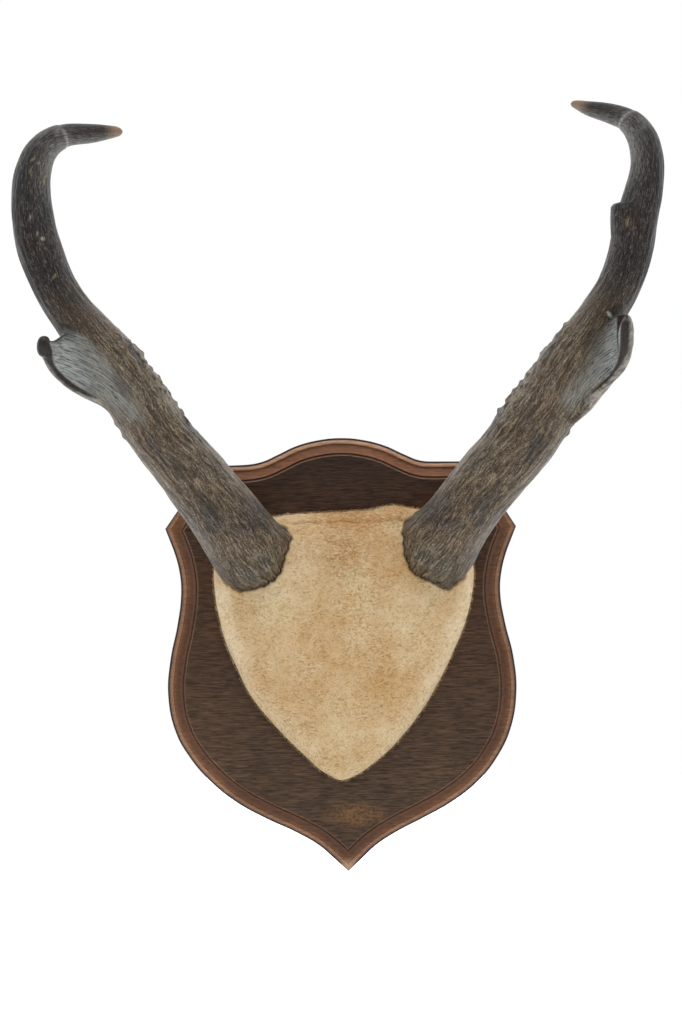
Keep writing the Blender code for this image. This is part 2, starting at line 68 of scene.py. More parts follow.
# The shield: its outline clockwise from the top centre, in mm, and the knots where it turns a sharp
# corner. It was cut by hand, so its two sides differ a little.
SHIELD_THICKNESS = 19.0 * MM
SHIELD_OUTLINE = [                # x, z
    (0.0, 138.0), (14.0, 136.7), (28.5, 132.8), (40.0, 127.5), (50.5, 123.3), (62.0, 122.5),
    (85.5, 122.8), (112.4, 80.8), (106.4, 66.5), (102.3, 51.0), (101.5, 38.0), (104.4, 19.0),
    (109.6, -3.0), (111.3, -26.0), (107.1, -49.9), (99.0, -66.6), (87.4, -81.4), (70.1, -95.2),
    (51.2, -105.7), (33.0, -115.0), (20.2, -123.3), (11.2, -131.6), (2.7, -140.2), (-6.2, -131.6),
    (-16.2, -122.9), (-30.6, -114.5), (-50.0, -105.4), (-69.2, -94.6), (-86.3, -80.4),
    (-98.4, -66.0), (-107.3, -49.8), (-112.0, -26.0), (-110.3, -3.0), (-105.7, 18.8),
    (-103.2, 38.0), (-103.8, 51.3), (-107.7, 66.9), (-113.4, 80.9), (-85.5, 121.0), (-62.0, 121.3),
    (-50.5, 123.2), (-40.0, 127.8), (-28.5, 133.1), (-14.0, 136.8),
]
SHIELD_MIDDLE = 20.0              # height of its middle, in mm
SHIELD_CORNERS = [(85.5, 122.8), (112.4, 80.8), (2.7, -140.2), (-113.4, 80.9), (-85.5, 121.0)]
CORNER_ROUNDING = 2.6 * MM        # how far from a corner it has been worn round
CORNER_WEAR = 0.5 * MM            # how much the corner itself has lost
OUTLINE_STEPS = 7
MOULDING = [                      # inset from the outer edge and height above the back, in mm
    (0.0, 0.6), (0.0, 8.2), (0.15, 9.4), (0.5, 10.6), (1.0, 11.5), (1.4, 12.0),      # outer arris
    (1.9, 12.35), (2.6, 12.65), (3.2, 12.75), (3.7, 12.6),                           # bead
    (4.0, 12.2), (4.3, 12.0), (4.9, 12.05), (5.3, 12.3),                             # step
    (5.9, 12.5), (6.9, 12.8), (7.8, 13.3), (8.6, 14.0), (9.3, 14.9),                 # cove
    (9.65, 15.2), (9.95, 15.1), (10.35, 15.0), (10.7, 15.2), (10.9, 16.4), (11.1, 17.9),  # quirk
    (11.25, 18.6), (11.4, 18.93), (11.6, 19.0), (12.0, 19.0),                        # inner arris
]
CAP_SCREWS = {"left": (-27.0, 60.0), "right": (27.0, 60.0), "low": (0.0, -28.0)}   # x, z in mm
SCREW_HEAD_RADIUS = 4.1 * MM
SCREW_HEAD_HEIGHT = 3.0 * MM
SCREW_RADIUS = 1.9 * MM
SCREW_LENGTH = 28.0 * MM
SCREW_TOP = 2.7 * MM              # how deep the heads lie below the back
COUNTERBORE_RADIUS = 5.0 * MM
COUNTERBORE_DEPTH = 6.0 * MM
HANGER_HEIGHT = 102.0 * MM
HANGER_RECESS = (48.0 * MM, 3.0 * MM, 12.0 * MM)      # width, depth and height
BRAD_OFFSET = 19.0 * MM
BRAD_HOLE_RADIUS = 0.85 * MM
BRAD_HOLE_DEPTH = 11.2 * MM
SCREW_SLOT = 1.1 * MM
THREAD_PITCH = 1.9 * MM
THREAD_GRID = (150, 20)           # rings along the shank and points round it
ROUND_SIDES = 40                  # facets of a drilled hole and of a screw's head

# The hide over the skull cap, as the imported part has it: clockwise from the top centre, in mm.
CAP_OUTLINE = [
    (0.0, 90.5), (16.0, 91.2), (30.0, 93.4), (44.0, 92.4), (58.0, 90.5), (70.0, 85.0), (79.0, 74.0),
    (83.2, 60.0), (83.4, 44.0), (79.0, 22.3), (72.8, 6.5), (62.4, -15.2), (49.8, -36.8),
    (35.6, -54.5), (20.3, -68.6), (7.6, -77.0), (-1.0, -80.0), (-9.2, -76.9), (-24.4, -64.4),
    (-41.9, -46.6), (-56.9, -28.3), (-67.7, -7.1), (-74.2, 7.4), (-78.2, 22.4), (-80.8, 40.0),
    (-81.0, 58.0), (-77.0, 73.0), (-67.5, 83.5), (-56.0, 87.6), (-43.0, 88.0), (-26.3, 89.3),
    (-12.0, 90.0),
]
CAP_STEPS = 12
CAP_CENTRE = (0.0, 30.0 * MM)
CAP_BASE = 19.3 * MM              # height of the hide's lower edge above the wall
DOME_POWER = 3.2                  # how squarely the dome's shoulder turns; 2 would be round
DOME_WALL = 3.0 * MM              # height of its straight side
DOME_HEIGHT_LOW = 24.0 * MM       # height of its crown at the snout end
DOME_HEIGHT_HIGH = 33.0 * MM      # and at the top
HIDE_THICKNESS = 1.1 * MM
HIDE_EDGE = 0.9 * MM              # how far its turned-in edge rises to the outline
HIDE_TUCK = 0.985                 # share of the outline that its lower edge is drawn in to
HIDE_RINGS = 105                  # rings of faces from its lower edge to its crown
HIDE_CREASE = 84.2                # height of the crease under its rolled top edge, in mm
HORN_NEAR = 50.0 * MM             # radius about the middle of a horn's foot where they may touch
HIDE_CUT = 2.6 * MM               # how far inside a horn the hide stops
HIDE_STAINS = [                   # orange stains: x, z, half width, half height in mm, strength
    (0, 56, 15, 18, 0.8), (9, 85.5, 22, 5.0, 0.95), (33, 88, 9, 5, 0.7), (-75.4, 49, 6, 7, 0.5),
    (-38, -44, 16, 14, 0.3), (10, -66, 14, 8, 0.3),
]
NAP_COUNT = 16000                 # suede fibres that stand off the hide
NAP_RADIUS = 0.08 * MM
NAP_LENGTH = (0.9, 2.4)           # shortest and longest, in mm
NAP_LIFT = (0.15, 0.55)           # how far they stand off the face, in mm; more at its edges

# Each horn's middle line from its seat to its tip, in mm: x, z, height above the wall, half
# width seen from the front, half depth seen from the side.
LINE_LEFT = [
    (-50.5, 56.2, 34.0, 26.0, 23.0), (-56.7, 65.0, 47.0, 25.0, 23.5),
    (-70.7, 86.2, 66.0, 22.6, 24.0), (-84.1, 104.9, 84.0, 21.0, 24.0),
    (-98.8, 124.4, 101.0, 19.4, 23.5), (-112.8, 141.6, 115.0, 18.2, 22.5),
    (-124.3, 160.5, 126.0, 17.9, 21.0), (-138.4, 181.4, 136.0, 17.4, 19.5),
    (-151.4, 199.3, 142.0, 15.1, 18.0), (-160.9, 211.6, 145.0, 13.5, 16.8),
    (-171.5, 229.7, 147.0, 12.9, 15.4), (-181.3, 255.9, 146.0, 13.2, 14.4),
    (-184.5, 282.6, 142.0, 11.8, 13.0), (-182.3, 301.7, 137.0, 10.4, 11.6),
    (-175.9, 313.4, 133.0, 8.9, 9.8), (-165.1, 319.8, 128.0, 7.4, 7.6),
    (-149.9, 321.6, 121.0, 5.9, 5.9), (-138.1, 323.0, 116.0, 4.0, 4.0),
    (-133.8, 323.3, 114.3, 2.9, 3.0), (-131.9, 323.4, 113.5, 1.7, 1.8),
]
LINE_RIGHT = [
    (54.0, 59.1, 34.0, 26.0, 23.5), (60.7, 68.7, 47.0, 25.0, 24.0),
    (73.5, 86.2, 64.0, 21.4, 24.5), (89.2, 107.7, 84.0, 20.9, 24.5),
    (102.8, 123.6, 99.0, 20.6, 24.0), (115.8, 140.7, 113.0, 20.8, 23.0),
    (127.5, 158.8, 125.0, 19.2, 21.5), (138.7, 178.9, 135.0, 16.6, 20.0),
    (149.5, 195.5, 141.0, 14.7, 18.5), (157.8, 208.2, 144.5, 13.6, 17.2),
    (167.0, 224.0, 146.5, 12.8, 15.8), (173.8, 242.0, 147.0, 12.9, 14.8),
    (178.4, 262.0, 145.0, 12.7, 14.2), (182.9, 280.0, 142.5, 11.6, 13.0),
    (185.5, 294.6, 140.0, 10.2, 12.0), (185.2, 307.0, 137.0, 9.6, 10.8),
    (182.0, 317.5, 134.0, 8.8, 9.5), (175.5, 325.7, 130.0, 7.5, 8.0),
    (164.8, 330.6, 125.0, 6.3, 6.2), (152.5, 334.3, 120.0, 4.5, 4.5),
    (145.6, 336.9, 117.5, 2.9, 3.0), (142.6, 337.7, 116.2, 1.8, 1.9),
]
# Each prong from inside the shaft out to its knob, in mm: x, z and height above the wall of its
# upper edge, the same of its lower edge, half the thickness of the blade between them, how deep
# its inner face is cupped, and how much the rim on its lower edge stands proud.
PRONG_LEFT = [
    (-144.5, 193.7, 135.0, -121.8, 140.2, 120.0, 9.0, 0.0, 0.0),
    (-153.0, 199.0, 148.0, -130.8, 144.0, 128.0, 7.0, 0.0, 0.0),
    (-160.3, 200.0, 153.0, -140.4, 152.6, 136.0, 5.0, 1.5, 0.4),
    (-165.5, 197.5, 157.0, -151.2, 159.0, 144.0, 3.6, 3.0, 0.8),
    (-169.4, 194.4, 161.0, -162.2, 165.4, 151.0, 3.0, 3.0, 0.9),
    (-172.0, 194.0, 165.0, -171.6, 174.2, 158.0, 3.4, 1.5, 0.7),
    (-173.9, 196.4, 168.5, -175.4, 182.9, 164.5, 4.2, 0.0, 0.0),
    (-175.4, 196.2, 171.5, -176.2, 184.0, 169.0, 4.0, 0.0, 0.0),
]
PRONG_RIGHT = [
    (152.9, 199.9, 140.0, 128.7, 136.2, 122.0, 9.0, 0.0, 0.0),
    (159.2, 203.4, 151.0, 140.0, 142.0, 132.0, 7.0, 0.0, 0.0),
    (164.2, 205.4, 156.0, 148.6, 149.6, 141.0, 5.2, 1.5, 0.4),
    (167.9, 206.4, 162.0, 154.2, 157.4, 148.0, 4.0, 3.0, 0.8),
    (169.7, 206.2, 169.0, 158.9, 163.6, 156.0, 3.6, 3.0, 0.9),
    (170.0, 205.6, 176.0, 164.4, 169.4, 164.0, 3.9, 2.0, 0.6),
    (169.2, 204.6, 183.0, 168.0, 176.6, 172.0, 4.4, 0.5, 0.3),
    (168.6, 202.4, 187.0, 168.0, 183.6, 180.0, 4.5, 0.0, 0.0),
]
SEAT_BLEND = 34.0 * MM            # length over which sections turn from the seat to the shaft
SHAFT_SIDES = 72
SHAFT_STEPS = 6
PRONG_SIDES = 48
PRONG_STEPS = 6
BLADE_COLUMNS = 25                # places across a prong where a point's place on it is looked up
HORN_VOXEL = 0.8 * MM             # spacing of the finished skin of a horn
JOINT_REACH = 9.0 * MM            # how near both skins lie where shaft and prong melt together
AROUND = 17.0 * MM                # radius at which fibres are laid out round a shaft
FAN_RADIUS = 90.0 * MM            # and in arcs over a prong
KNOBBY_LENGTH = (0.110, 0.212)    # stretch of a shaft whose inner edge is knobbly
KNOB_SIZE = 4.2 * MM              # the small knobs there
ROPE_WIDTH = 3.6 * MM             # ridges along the fibres, with finer strands on them
STRAND_WIDTH = 1.9 * MM
SWELL_SIZE = 13.0 * MM            # low swells of the whole skin
SWELL_RISE = 0.45 * MM
RING_STEP = 0.5 * MM              # how much lower a horn lies beyond its growth ring
CREVICE_DEPTH = 0.9 * MM          # short cracks that run up from the foot

# Where the flared foot of each horn meets the hide: angle from +X about the foot's middle, in
# degrees, and reach in mm. The foot's middle is the second station of the horn.
FOOT_LEFT = [
    (60, 24.0), (46, 25.0), (36, 26.4), (27, 27.6), (18, 26.4), (8, 23.6), (349, 20.8), (327, 19.4),
    (305, 19.5), (284, 20.8), (267, 22.8), (257, 24.6), (243, 25.5), (231, 24.0), (213, 22.3),
]
FOOT_RIGHT = [
    (122, 23.2), (146, 25.8), (153, 25.0), (171, 21.7), (195, 20.0), (225, 19.9), (246, 20.8),
    (268, 24.4), (277, 27.6), (283, 28.2), (296, 26.4), (304, 26.4), (313, 23.9), (324, 20.8),
]
FLARE_HEIGHT = 17.0 * MM          # how far up the shaft its foot starts to flare
FOOT_AREA = 60.0 * MM             # radius about the foot's middle that is shaped
FOOT_SECTORS = 40                 # directions in which its plain reach is averaged
FOOT_TUCK = 6.0 * MM              # how far it draws in under the hide
FOOT_RAGGED = 0.8 * MM            # how much its edge wanders

# The pale hollow inside each prong, as an outline seen from the front, in mm.
HOLLOW_LEFT = [
    (-163.7, 202.1), (-151.8, 196.0), (-145.3, 188.8), (-138.8, 180.3), (-131.7, 169.5),
    (-125.2, 160.2), (-121.8, 152.3), (-120.0, 146.0), (-125.5, 148.3), (-131.4, 153.4),
    (-137.2, 156.4), (-145.4, 159.6), (-152.0, 162.8), (-158.2, 166.4), (-163.0, 170.4),
    (-168.9, 177.2), (-171.7, 181.8), (-172.5, 187.8), (-171.6, 193.2), (-167.9, 196.2),
    (-165.5, 199.1),
]
HOLLOW_RIGHT = [
    (165.1, 207.0), (159.1, 200.5), (154.8, 189.8), (151.2, 182.1), (147.6, 174.4), (141.5, 166.1),
    (134.3, 157.3), (139.6, 153.1), (145.0, 157.2), (149.8, 161.3), (157.0, 167.2), (160.6, 170.7),
    (164.3, 176.7), (166.1, 182.6), (166.5, 197.5), (166.3, 205.8),
]

# The dark rubbed rim of each prong, seen from the front, in mm. It runs past the silhouette.
RIM_LEFT = [
    (-179.3, 195.8), (-175.9, 197.0), (-173.4, 194.9), (-172.0, 192.2), (-171.0, 189.0),
    (-170.8, 185.2), (-170.9, 182.6), (-169.9, 179.2), (-167.2, 175.5), (-163.8, 172.2),
    (-159.9, 168.9), (-155.6, 165.9), (-150.5, 162.8), (-143.0, 159.3), (-151.5, 161.4),
    (-157.9, 164.3), (-162.8, 167.6), (-167.1, 171.0), (-170.4, 175.2), (-172.6, 179.2),
    (-174.6, 181.8), (-178.0, 182.6), (-183.0, 186.0), (-184.0, 193.0),
]
RIM_RIGHT = [
    (166.6, 208.8), (165.0, 205.7), (165.0, 182.5), (164.1, 176.6), (160.5, 170.7), (156.9, 167.1),
    (150.0, 161.2), (144.8, 156.6), (138.8, 151.5), (134.1, 145.9), (141.3, 152.4), (150.0, 158.9),
    (160.0, 168.0), (167.3, 178.0), (169.9, 185.0), (169.8, 205.6), (168.8, 209.0),
]

# Each horn. Its fibres run over the prong in arcs about the point "fan"; "strip" is the corner of
# the rim where the rim's outer edge begins, past which a painted reflection is laid; "ring" is the
# growth ring's x, z and slant. "warts" are knobs: x, z, size and rise. The other lists are marks:
# x, z, half width, half height, all in mm, and lean in degrees.
LEFT_HORN = {
    "line": LINE_LEFT, "prong": PRONG_LEFT, "foot": FOOT_LEFT, "hollow": HOLLOW_LEFT, "rim": RIM_LEFT,
    "outer": -1, "fan": (-197.8, 89.4), "ring": (-163.7, 318.7, 0.05), "strip": 13,
    "warts": [(-136.0, 145.0, 2.2, 0.9), (-131.6, 137.6, 2.4, 1.0), (-119.8, 188.0, 2.6, 1.3),
              (-110.1, 174.4, 3.2, 1.6), (-103.1, 166.7, 3.4, 2.3), (-97.0, 154.1, 2.8, 1.6)],
    "golden": [(-182.6, 303.2, 1.5, 0.5, -38), (-179.2, 301.0, 1.2, 0.4, -20),
               (-184.2, 295.6, 0.6, 1.3, 12), (-175.6, 291.0, 0.5, 3.0, 8),
               (-169.6, 232.0, 0.5, 2.4, 35)],
    "pale": [(-179.5, 257.8, 0.3, 1.6, 10), (-176.3, 254.8, 0.9, 0.9, 0), (-183.4, 268.0, 0.3, 1.4, 5)],
    "dusky": [(-80.4, 92.5, 5.0, 17.0, -35), (-131.0, 166.0, 3.0, 9.0, -38),
              (-98.0, 118.0, 3.5, 10.0, -36)],
    "chip": [],
    "ledge": None,
}
RIGHT_HORN = {
    "line": LINE_RIGHT, "prong": PRONG_RIGHT, "foot": FOOT_RIGHT, "hollow": HOLLOW_RIGHT, "rim": RIM_RIGHT,
    "outer": 1, "fan": (215.0, 106.0), "ring": (171.8, 326.5, 0.22), "strip": 9,
    "warts": [(142.4, 142.6, 2.6, 1.6), (137.8, 137.4, 2.4, 1.3), (120.0, 185.4, 3.0, 1.5),
              (111.1, 174.8, 3.2, 2.2), (104.5, 165.4, 3.0, 1.6), (96.6, 152.5, 2.6, 1.7)],
    "golden": [(99.4, 103.8, 2.2, 1.2, 0), (121.4, 137.8, 1.6, 0.9, 30), (172.0, 262.0, 0.7, 3.0, 5)],
    "pale": [(151.5, 153.5, 2.5, 1.6, 40), (147.0, 148.4, 1.6, 3.0, 30)],
    "dusky": [(118.0, 128.0, 4.0, 12.0, 36), (92.0, 98.0, 3.5, 12.0, 36), (148.0, 192.0, 4.0, 8.0, 30)],
    "chip": [(160.6, 206.6, 0.5, 1.9, -40)],
    # A flap on the inner edge: its outline's x, its top and foot, and the plain horn's outline at
    # its foot and top, in mm.
    "ledge": (164.2, 274.4, 250.0, 163.1, 169.8),
}


def srgb(code):
    """Linear colour of a six-digit sRGB hex code."""
    values = [int(code[i:i + 2], 16) / 255 for i in (0, 2, 4)]
    return [v / 12.92 if v <= 0.04045 else ((v + 0.055) / 1.055) ** 2.4 for v in values] + [1.0]


def connect(node, inputs):
    """Fill a node's inputs, given by name or in their own order.

    Each takes a value, an sRGB hex code, a socket, or another node, which gives its first output.
    """
    for name, value in inputs.items() if isinstance(inputs, dict) else enumerate(inputs):
        if isinstance(value, bpy.types.Node):
            value = value.outputs[0]
        if isinstance(value, bpy.types.NodeSocket):
            node.id_data.links.new(value, node.inputs[name])
        else:
            node.inputs[name].default_value = srgb(value) if isinstance(value, str) else value


def add(tree, kind, inputs=(), stops=(), **settings):
    """A shader node with its settings and links. A ramp's stops are hex codes or plain factors."""
    node = tree.nodes.new("ShaderNode" + kind)
    for name, value in settings.items():
        setattr(node, name, value)
    if stops:
        ramp = node.color_ramp.elements
        for _ in stops[2:]:
            ramp.new(1.0)
        for element, (place, colour) in zip(ramp, stops):
            element.position = place
            element.color = srgb(colour) if isinstance(colour, str) else [colour] * 3 + [1.0]
    connect(node, inputs)
    return node


# Shapes ---------------------------------------------------------------------------------------

def smoothstep(low, high, value):
    """0 at low, 1 at high and an even turn between, for numbers and arrays."""
    share = np.clip((value - low) / (high - low), 0.0, 1.0)
    return share * share * (3 - 2 * share)


def bell(value, width):
    """1 where value is 0, falling off evenly over the width."""
    return np.exp(-(value / width) ** 2)


def unit(vectors):
    """Each row of an array made one long."""
    return vectors / np.maximum(np.linalg.norm(vectors, axis=-1, keepdims=True), 1e-12)


def noise_at(points, size):
    """Smooth noise, about -1 to 1, at each point, for features of that size in metres."""
    scaled = points / size
    return np.array([noise.noise(point) for point in scaled.tolist()])


def deselect():
    if bpy.context.object and bpy.context.object.mode != "OBJECT":
        bpy.ops.object.mode_set(mode="OBJECT")
    bpy.ops.object.select_all(action="DESELECT")


def only(obj):
    """Make obj the one selected and active object."""
    deselect()
    obj.select_set(True)
    bpy.context.view_layer.objects.active = obj
    return obj


def apply_modifier(obj, kind, **settings):
    only(obj)
    modifier = obj.modifiers.new(kind.lower(), kind)
    for name, value in settings.items():
        setattr(modifier, name, value)
    bpy.ops.object.modifier_apply(modifier=modifier.name)


@contextmanager
def opened(mesh):
    """A mesh opened for editing, and written back afterwards."""
    bm = bmesh.new()
    bm.from_mesh(mesh)
    yield bm
    bm.to_mesh(mesh)
    bm.free()


def linked(name, data):
    """A new object in the scene that shows the given data."""
    obj = bpy.data.objects.new(name, data)
    bpy.context.scene.collection.objects.link(obj)
    return obj


def mesh_object(name, points, faces):
    """A mesh object made of points and faces, with its faces turned outwards."""
    mesh = bpy.data.meshes.new(name)
    mesh.from_pydata([tuple(point) for point in points], [], faces)
    with opened(mesh) as bm:
        bmesh.ops.recalc_face_normals(bm, faces=bm.faces)
    return linked(name, mesh)


def read(source, field):
    """A vector kept for each point of a mesh, as an array."""
    found = np.empty(len(source) * 3)
    source.foreach_get(field, found)
    return found.reshape(-1, 3)


def places(obj):
    """Where each point of a mesh lies."""
    return read(obj.data.vertices, "co")


def outward(obj):
    """The direction that each point of a mesh faces."""
    return read(obj.data.vertex_normals, "vector")


def smooth(obj, angle=None):
    """Shade a piece smooth all over, or only across edges gentler than the angle in degrees."""
    only(obj)
    if angle:
        bpy.ops.object.shade_smooth_by_angle(angle=math.radians(angle))
    else:
        bpy.ops.object.shade_smooth()


def metres(outline):
    """An outline given in mm."""
    return [(x * MM, z * MM) for x, z in outline]


def from_mark(points, x, z):
    """How far each point lies from a mark seen from the front, which is given in mm."""
    return np.hypot(points[:, 0] - x * MM, points[:, 2] - z * MM)


def move_points(obj, points):
    obj.data.vertices.foreach_set("co", points.ravel())
    obj.data.update()


def store(obj, name, values):
    """Keep a number or a vector for each point of a mesh, for its material to read."""
    kind, field = ("FLOAT_VECTOR", "vector") if values.ndim == 2 else ("FLOAT", "value")
    attribute = obj.data.attributes.new(name, kind, "POINT")
    attribute.data.foreach_set(field, values.astype(np.float32).ravel())


def finish_piece(obj, materials, node):
    """Give a finished piece its materials, and its place in the part."""
    finishes = [face.material_index for face in obj.data.polygons]
    obj.data.materials.clear()
    for material in materials:
        obj.data.materials.append(material)
    if len(materials) > 1:
        obj.data.polygons.foreach_set("material_index", finishes)
    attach(obj, "root")
    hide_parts(node)


def smooth_ring(points, corners, steps):
    """A closed ring of points on a Bezier curve that turns sharply only at the corners.

    A stretch that meets a corner stays one straight piece, so that the moulding can be inset
    past the corner without folding over.
    """
    curve = bpy.data.curves.new("outline", "CURVE")
    spline = curve.splines.new("BEZIER")
    spline.bezier_points.add(len(points) - 1)
    spline.use_cyclic_u = True
    for knot, (x, z), corner in zip(spline.bezier_points, points, corners):
        knot.co = (x, z, 0.0)
        kind = "VECTOR" if corner else "AUTO"
        knot.handle_left_type = kind
        knot.handle_right_type = kind
    guide = linked("outline", curve)
    bpy.context.view_layer.update()
    knots = list(spline.bezier_points)
    ring = []
    for i, knot in enumerate(knots):
        following = knots[(i + 1) % len(knots)]
        pieces = 1 if corners[i] or corners[(i + 1) % len(knots)] else steps
        stretch = interpolate_bezier(knot.co, knot.handle_right, following.handle_left,
                                     following.co, pieces + 1)
        ring += [(point.x, point.y) for point in stretch[:-1]]
    bpy.data.objects.remove(guide, do_unlink=True)
    return ring


def depth_inside(points, ring):
    """How far inside a closed outline each point lies, seen from the front; negative outside."""
    flat = points[:, None, [0, 2]]
    starts = np.array(ring)
    ends = np.roll(starts, -1, axis=0)
    stretch = ends - starts
    share = np.clip(((flat - starts) * stretch).sum(2) / (stretch ** 2).sum(1), 0.0, 1.0)
    gap = np.linalg.norm(flat - starts - share[..., None] * stretch, axis=2).min(1)
    level = np.where(stretch[:, 1] == 0, 1e-12, stretch[:, 1])
    crossed = (starts[:, 1] > flat[..., 1]) != (ends[:, 1] > flat[..., 1])
    at = starts[:, 0] + (flat[..., 1] - starts[:, 1]) / level * stretch[:, 0]
    hits = (crossed & (flat[..., 0] < at)).sum(1)
    return np.where(hits % 2 == 1, gap, -gap)


# Shield ---------------------------------------------------------------------------------------

def cut_away(piece, cutter):
    """Take a cutter's shape out of a piece, and remove the cutter."""
    apply_modifier(piece, "BOOLEAN", operation="DIFFERENCE", solver="EXACT", object=cutter)
    bpy.data.objects.remove(cutter, do_unlink=True)


def drill(piece, x, z, radius, depth):
    """A round hole into the back of a piece, as deep as given."""
    deselect()
    bpy.ops.mesh.primitive_cylinder_add(vertices=ROUND_SIDES, radius=radius, depth=depth + 1.0 * MM,
                                        location=(x, (1.0 * MM - depth) / 2, z),
                                        rotation=(math.radians(90), 0.0, 0.0))
    cut_away(piece, bpy.context.object)


def make_shield():
    """The board: its outline drawn flat, then raised and inset ring by ring as a router cuts it."""
    ring = smooth_ring(metres(SHIELD_OUTLINE), [knot in SHIELD_CORNERS for knot in SHIELD_OUTLINE],
                       OUTLINE_STEPS)
    board = mesh_object("shield_board", [(x, 0.0, z) for x, z in ring], [list(range(len(ring)))])
    only(board)
    bpy.ops.object.mode_set(mode="EDIT")
    bpy.ops.mesh.select_all(action="SELECT")
    inset, height = MOULDING[0]
    bpy.ops.mesh.extrude_region_move(TRANSFORM_OT_translate={"value": (0.0, -height * MM, 0.0)})
    for next_inset, next_height in MOULDING[1:]:
        if next_inset > inset:
            bpy.ops.mesh.inset(thickness=(next_inset - inset) * MM, use_even_offset=True)
        else:
            bpy.ops.mesh.extrude_region_move(TRANSFORM_OT_translate={"value": (0.0, 0.0, 0.0)})
        bpy.ops.transform.translate(value=(0.0, -(next_height - height) * MM, 0.0))
        inset, height = next_inset, next_height
    bpy.ops.mesh.select_all(action="SELECT")
    bpy.ops.mesh.normals_make_consistent(inside=False)
    bpy.ops.object.mode_set(mode="OBJECT")

    # Years of handling have rounded the sharp corners, which are moved towards the board's middle.
    points = places(board)
    for x, z in SHIELD_CORNERS:
        towards = unit(np.array([[-x, 0.0, SHIELD_MIDDLE - z]]))
        near = 1.0 - smoothstep(0.0, CORNER_ROUNDING, from_mark(points, x, z))
        points += towards * near[:, None] * CORNER_WEAR
    move_points(board, points)

    width, depth, tall = HANGER_RECESS
    deselect()
    bpy.ops.mesh.primitive_cube_add(size=1.0, location=(0.0, 0.0, HANGER_HEIGHT),
                                    scale=(width, 2 * depth, tall))
    apply_modifier(bpy.context.object, "BEVEL", width=2.4 * MM, segments=5, limit_method="ANGLE")
    cut_away(board, bpy.context.object)
    for x, z in CAP_SCREWS.values():
        drill(board, x * MM, z * MM, COUNTERBORE_RADIUS, COUNTERBORE_DEPTH)
        drill(board, x * MM, z * MM, SCREW_RADIUS + 0.3 * MM, SHIELD_THICKNESS + 0.5 * MM)
    for side in (-1, 1):
        drill(board, side * BRAD_OFFSET, HANGER_HEIGHT, BRAD_HOLE_RADIUS, BRAD_HOLE_DEPTH)
    # The back, and what is cut into it, never had the stain: those faces take the second finish.
    middles = np.array([face.center for face in board.data.polygons])
    behind = middles[:, 1] > -SHIELD_THICKNESS + 0.1 * MM
    cut_in = (depth_inside(middles, ring) > MOULDING[-1][0] * MM) & behind
    for face, bare in zip(board.data.polygons, cut_in):
        face.material_index = int(bare or face.normal.y > 0.9)
    smooth(board, 38)
    store(board, "edge", np.maximum(depth_inside(places(board), ring), 0.0))
    return board


# Horns ----------------------------------------------------------------------------------------

def spline_rows(table, steps):
    """The rows of a table in mm with Catmull-Rom rows between them, as an array in metres."""
    rows = np.array(table)
    padded = np.vstack((rows[:1], rows, rows[-1:]))
    share = np.linspace(0.0, 1.0, steps, endpoint=False)[:, None]
    filled = []
    for i in range(len(rows) - 1):
        a, b, c, d = padded[i:i + 4]
        filled.append(0.5 * (2 * b + (c - a) * share + (2 * a - 5 * b + 4 * c - d) * share ** 2
                             + (3 * b - a - 3 * c + d) * share ** 3))
    return np.vstack(filled + [rows[-1:]]) * MM


def middle_line(table, outer):
    """A horn's middle line with, at each point, its outer side, its face and its two half axes.

    outer is -1 for the horn on the left and 1 for the horn on the right.
    """
    rows = spline_rows(table, SHAFT_STEPS)
    centre = np.column_stack((rows[:, 0], -rows[:, 2], rows[:, 1]))
    travel = unit(np.gradient(centre, axis=0))
    along = np.concatenate(([0.0], np.cumsum(np.linalg.norm(np.diff(centre, axis=0), axis=1))))
    side = unit(np.cross(travel, (0.0, 1.0, 0.0))) * -outer
    face = unit(np.cross(travel, side))
    face *= -np.sign(face[:, 1:2])
    seat = -unit(travel * (1.0, 0.0, 1.0))
    turn = smoothstep(0.0, SEAT_BLEND, along)[:, None]
    return {"centre": centre, "travel": travel, "along": along, "side": side,
            "face": unit(seat + (face - seat) * turn), "width": rows[:, 3], "depth": rows[:, 4]}


def loft(name, rings, tip):
    """A closed skin over an array of rings, capped at its start and drawn to a tip at its end."""
    count, sides = rings.shape[:2]
    faces = [list(range(sides))]
    for row in range(count - 1):
        for i in range(sides):
            j = (i + 1) % sides
            faces.append((row * sides + i, row * sides + j, (row + 1) * sides + j, (row + 1) * sides + i))
    last = (count - 1) * sides
    faces += [(last + i, last + (i + 1) % sides, count * sides) for i in range(sides)]
    return mesh_object(name, np.vstack((rings.reshape(-1, 3), tip)), faces)


def shaft_blank(name, line):
    turn = np.linspace(0.0, 2 * math.pi, SHAFT_SIDES, endpoint=False)[None, :, None]
    rings = (line["centre"][:, None] + np.cos(turn) * (line["side"] * line["width"][:, None])[:, None]
             + np.sin(turn) * (line["face"] * line["depth"][:, None])[:, None])
    return loft(name, rings, line["centre"][-1] + line["travel"][-1] * line["width"][-1] * 0.7)


def prong_frame(table):
    """The blade of a prong, row by row: its upper and lower edges, its inner face and its sizes."""
    rows = spline_rows(table, PRONG_STEPS)
    upper = np.column_stack((rows[:, 0], -rows[:, 2], rows[:, 1]))
    lower = np.column_stack((rows[:, 3], -rows[:, 5], rows[:, 4]))
    middle = (upper + lower) / 2
    travel = unit(np.gradient(middle, axis=0))
    face = unit(np.cross(travel, upper - lower))
    face[0] *= -np.sign(face[0, 1])
    for before, here in zip(face, face[1:]):
        if before @ here < 0:
            here *= -1
    return {"upper": upper, "lower": lower, "travel": travel, "face": face, "thick": rows[:, 6],
            "cup": rows[:, 7], "rim": rows[:, 8]}


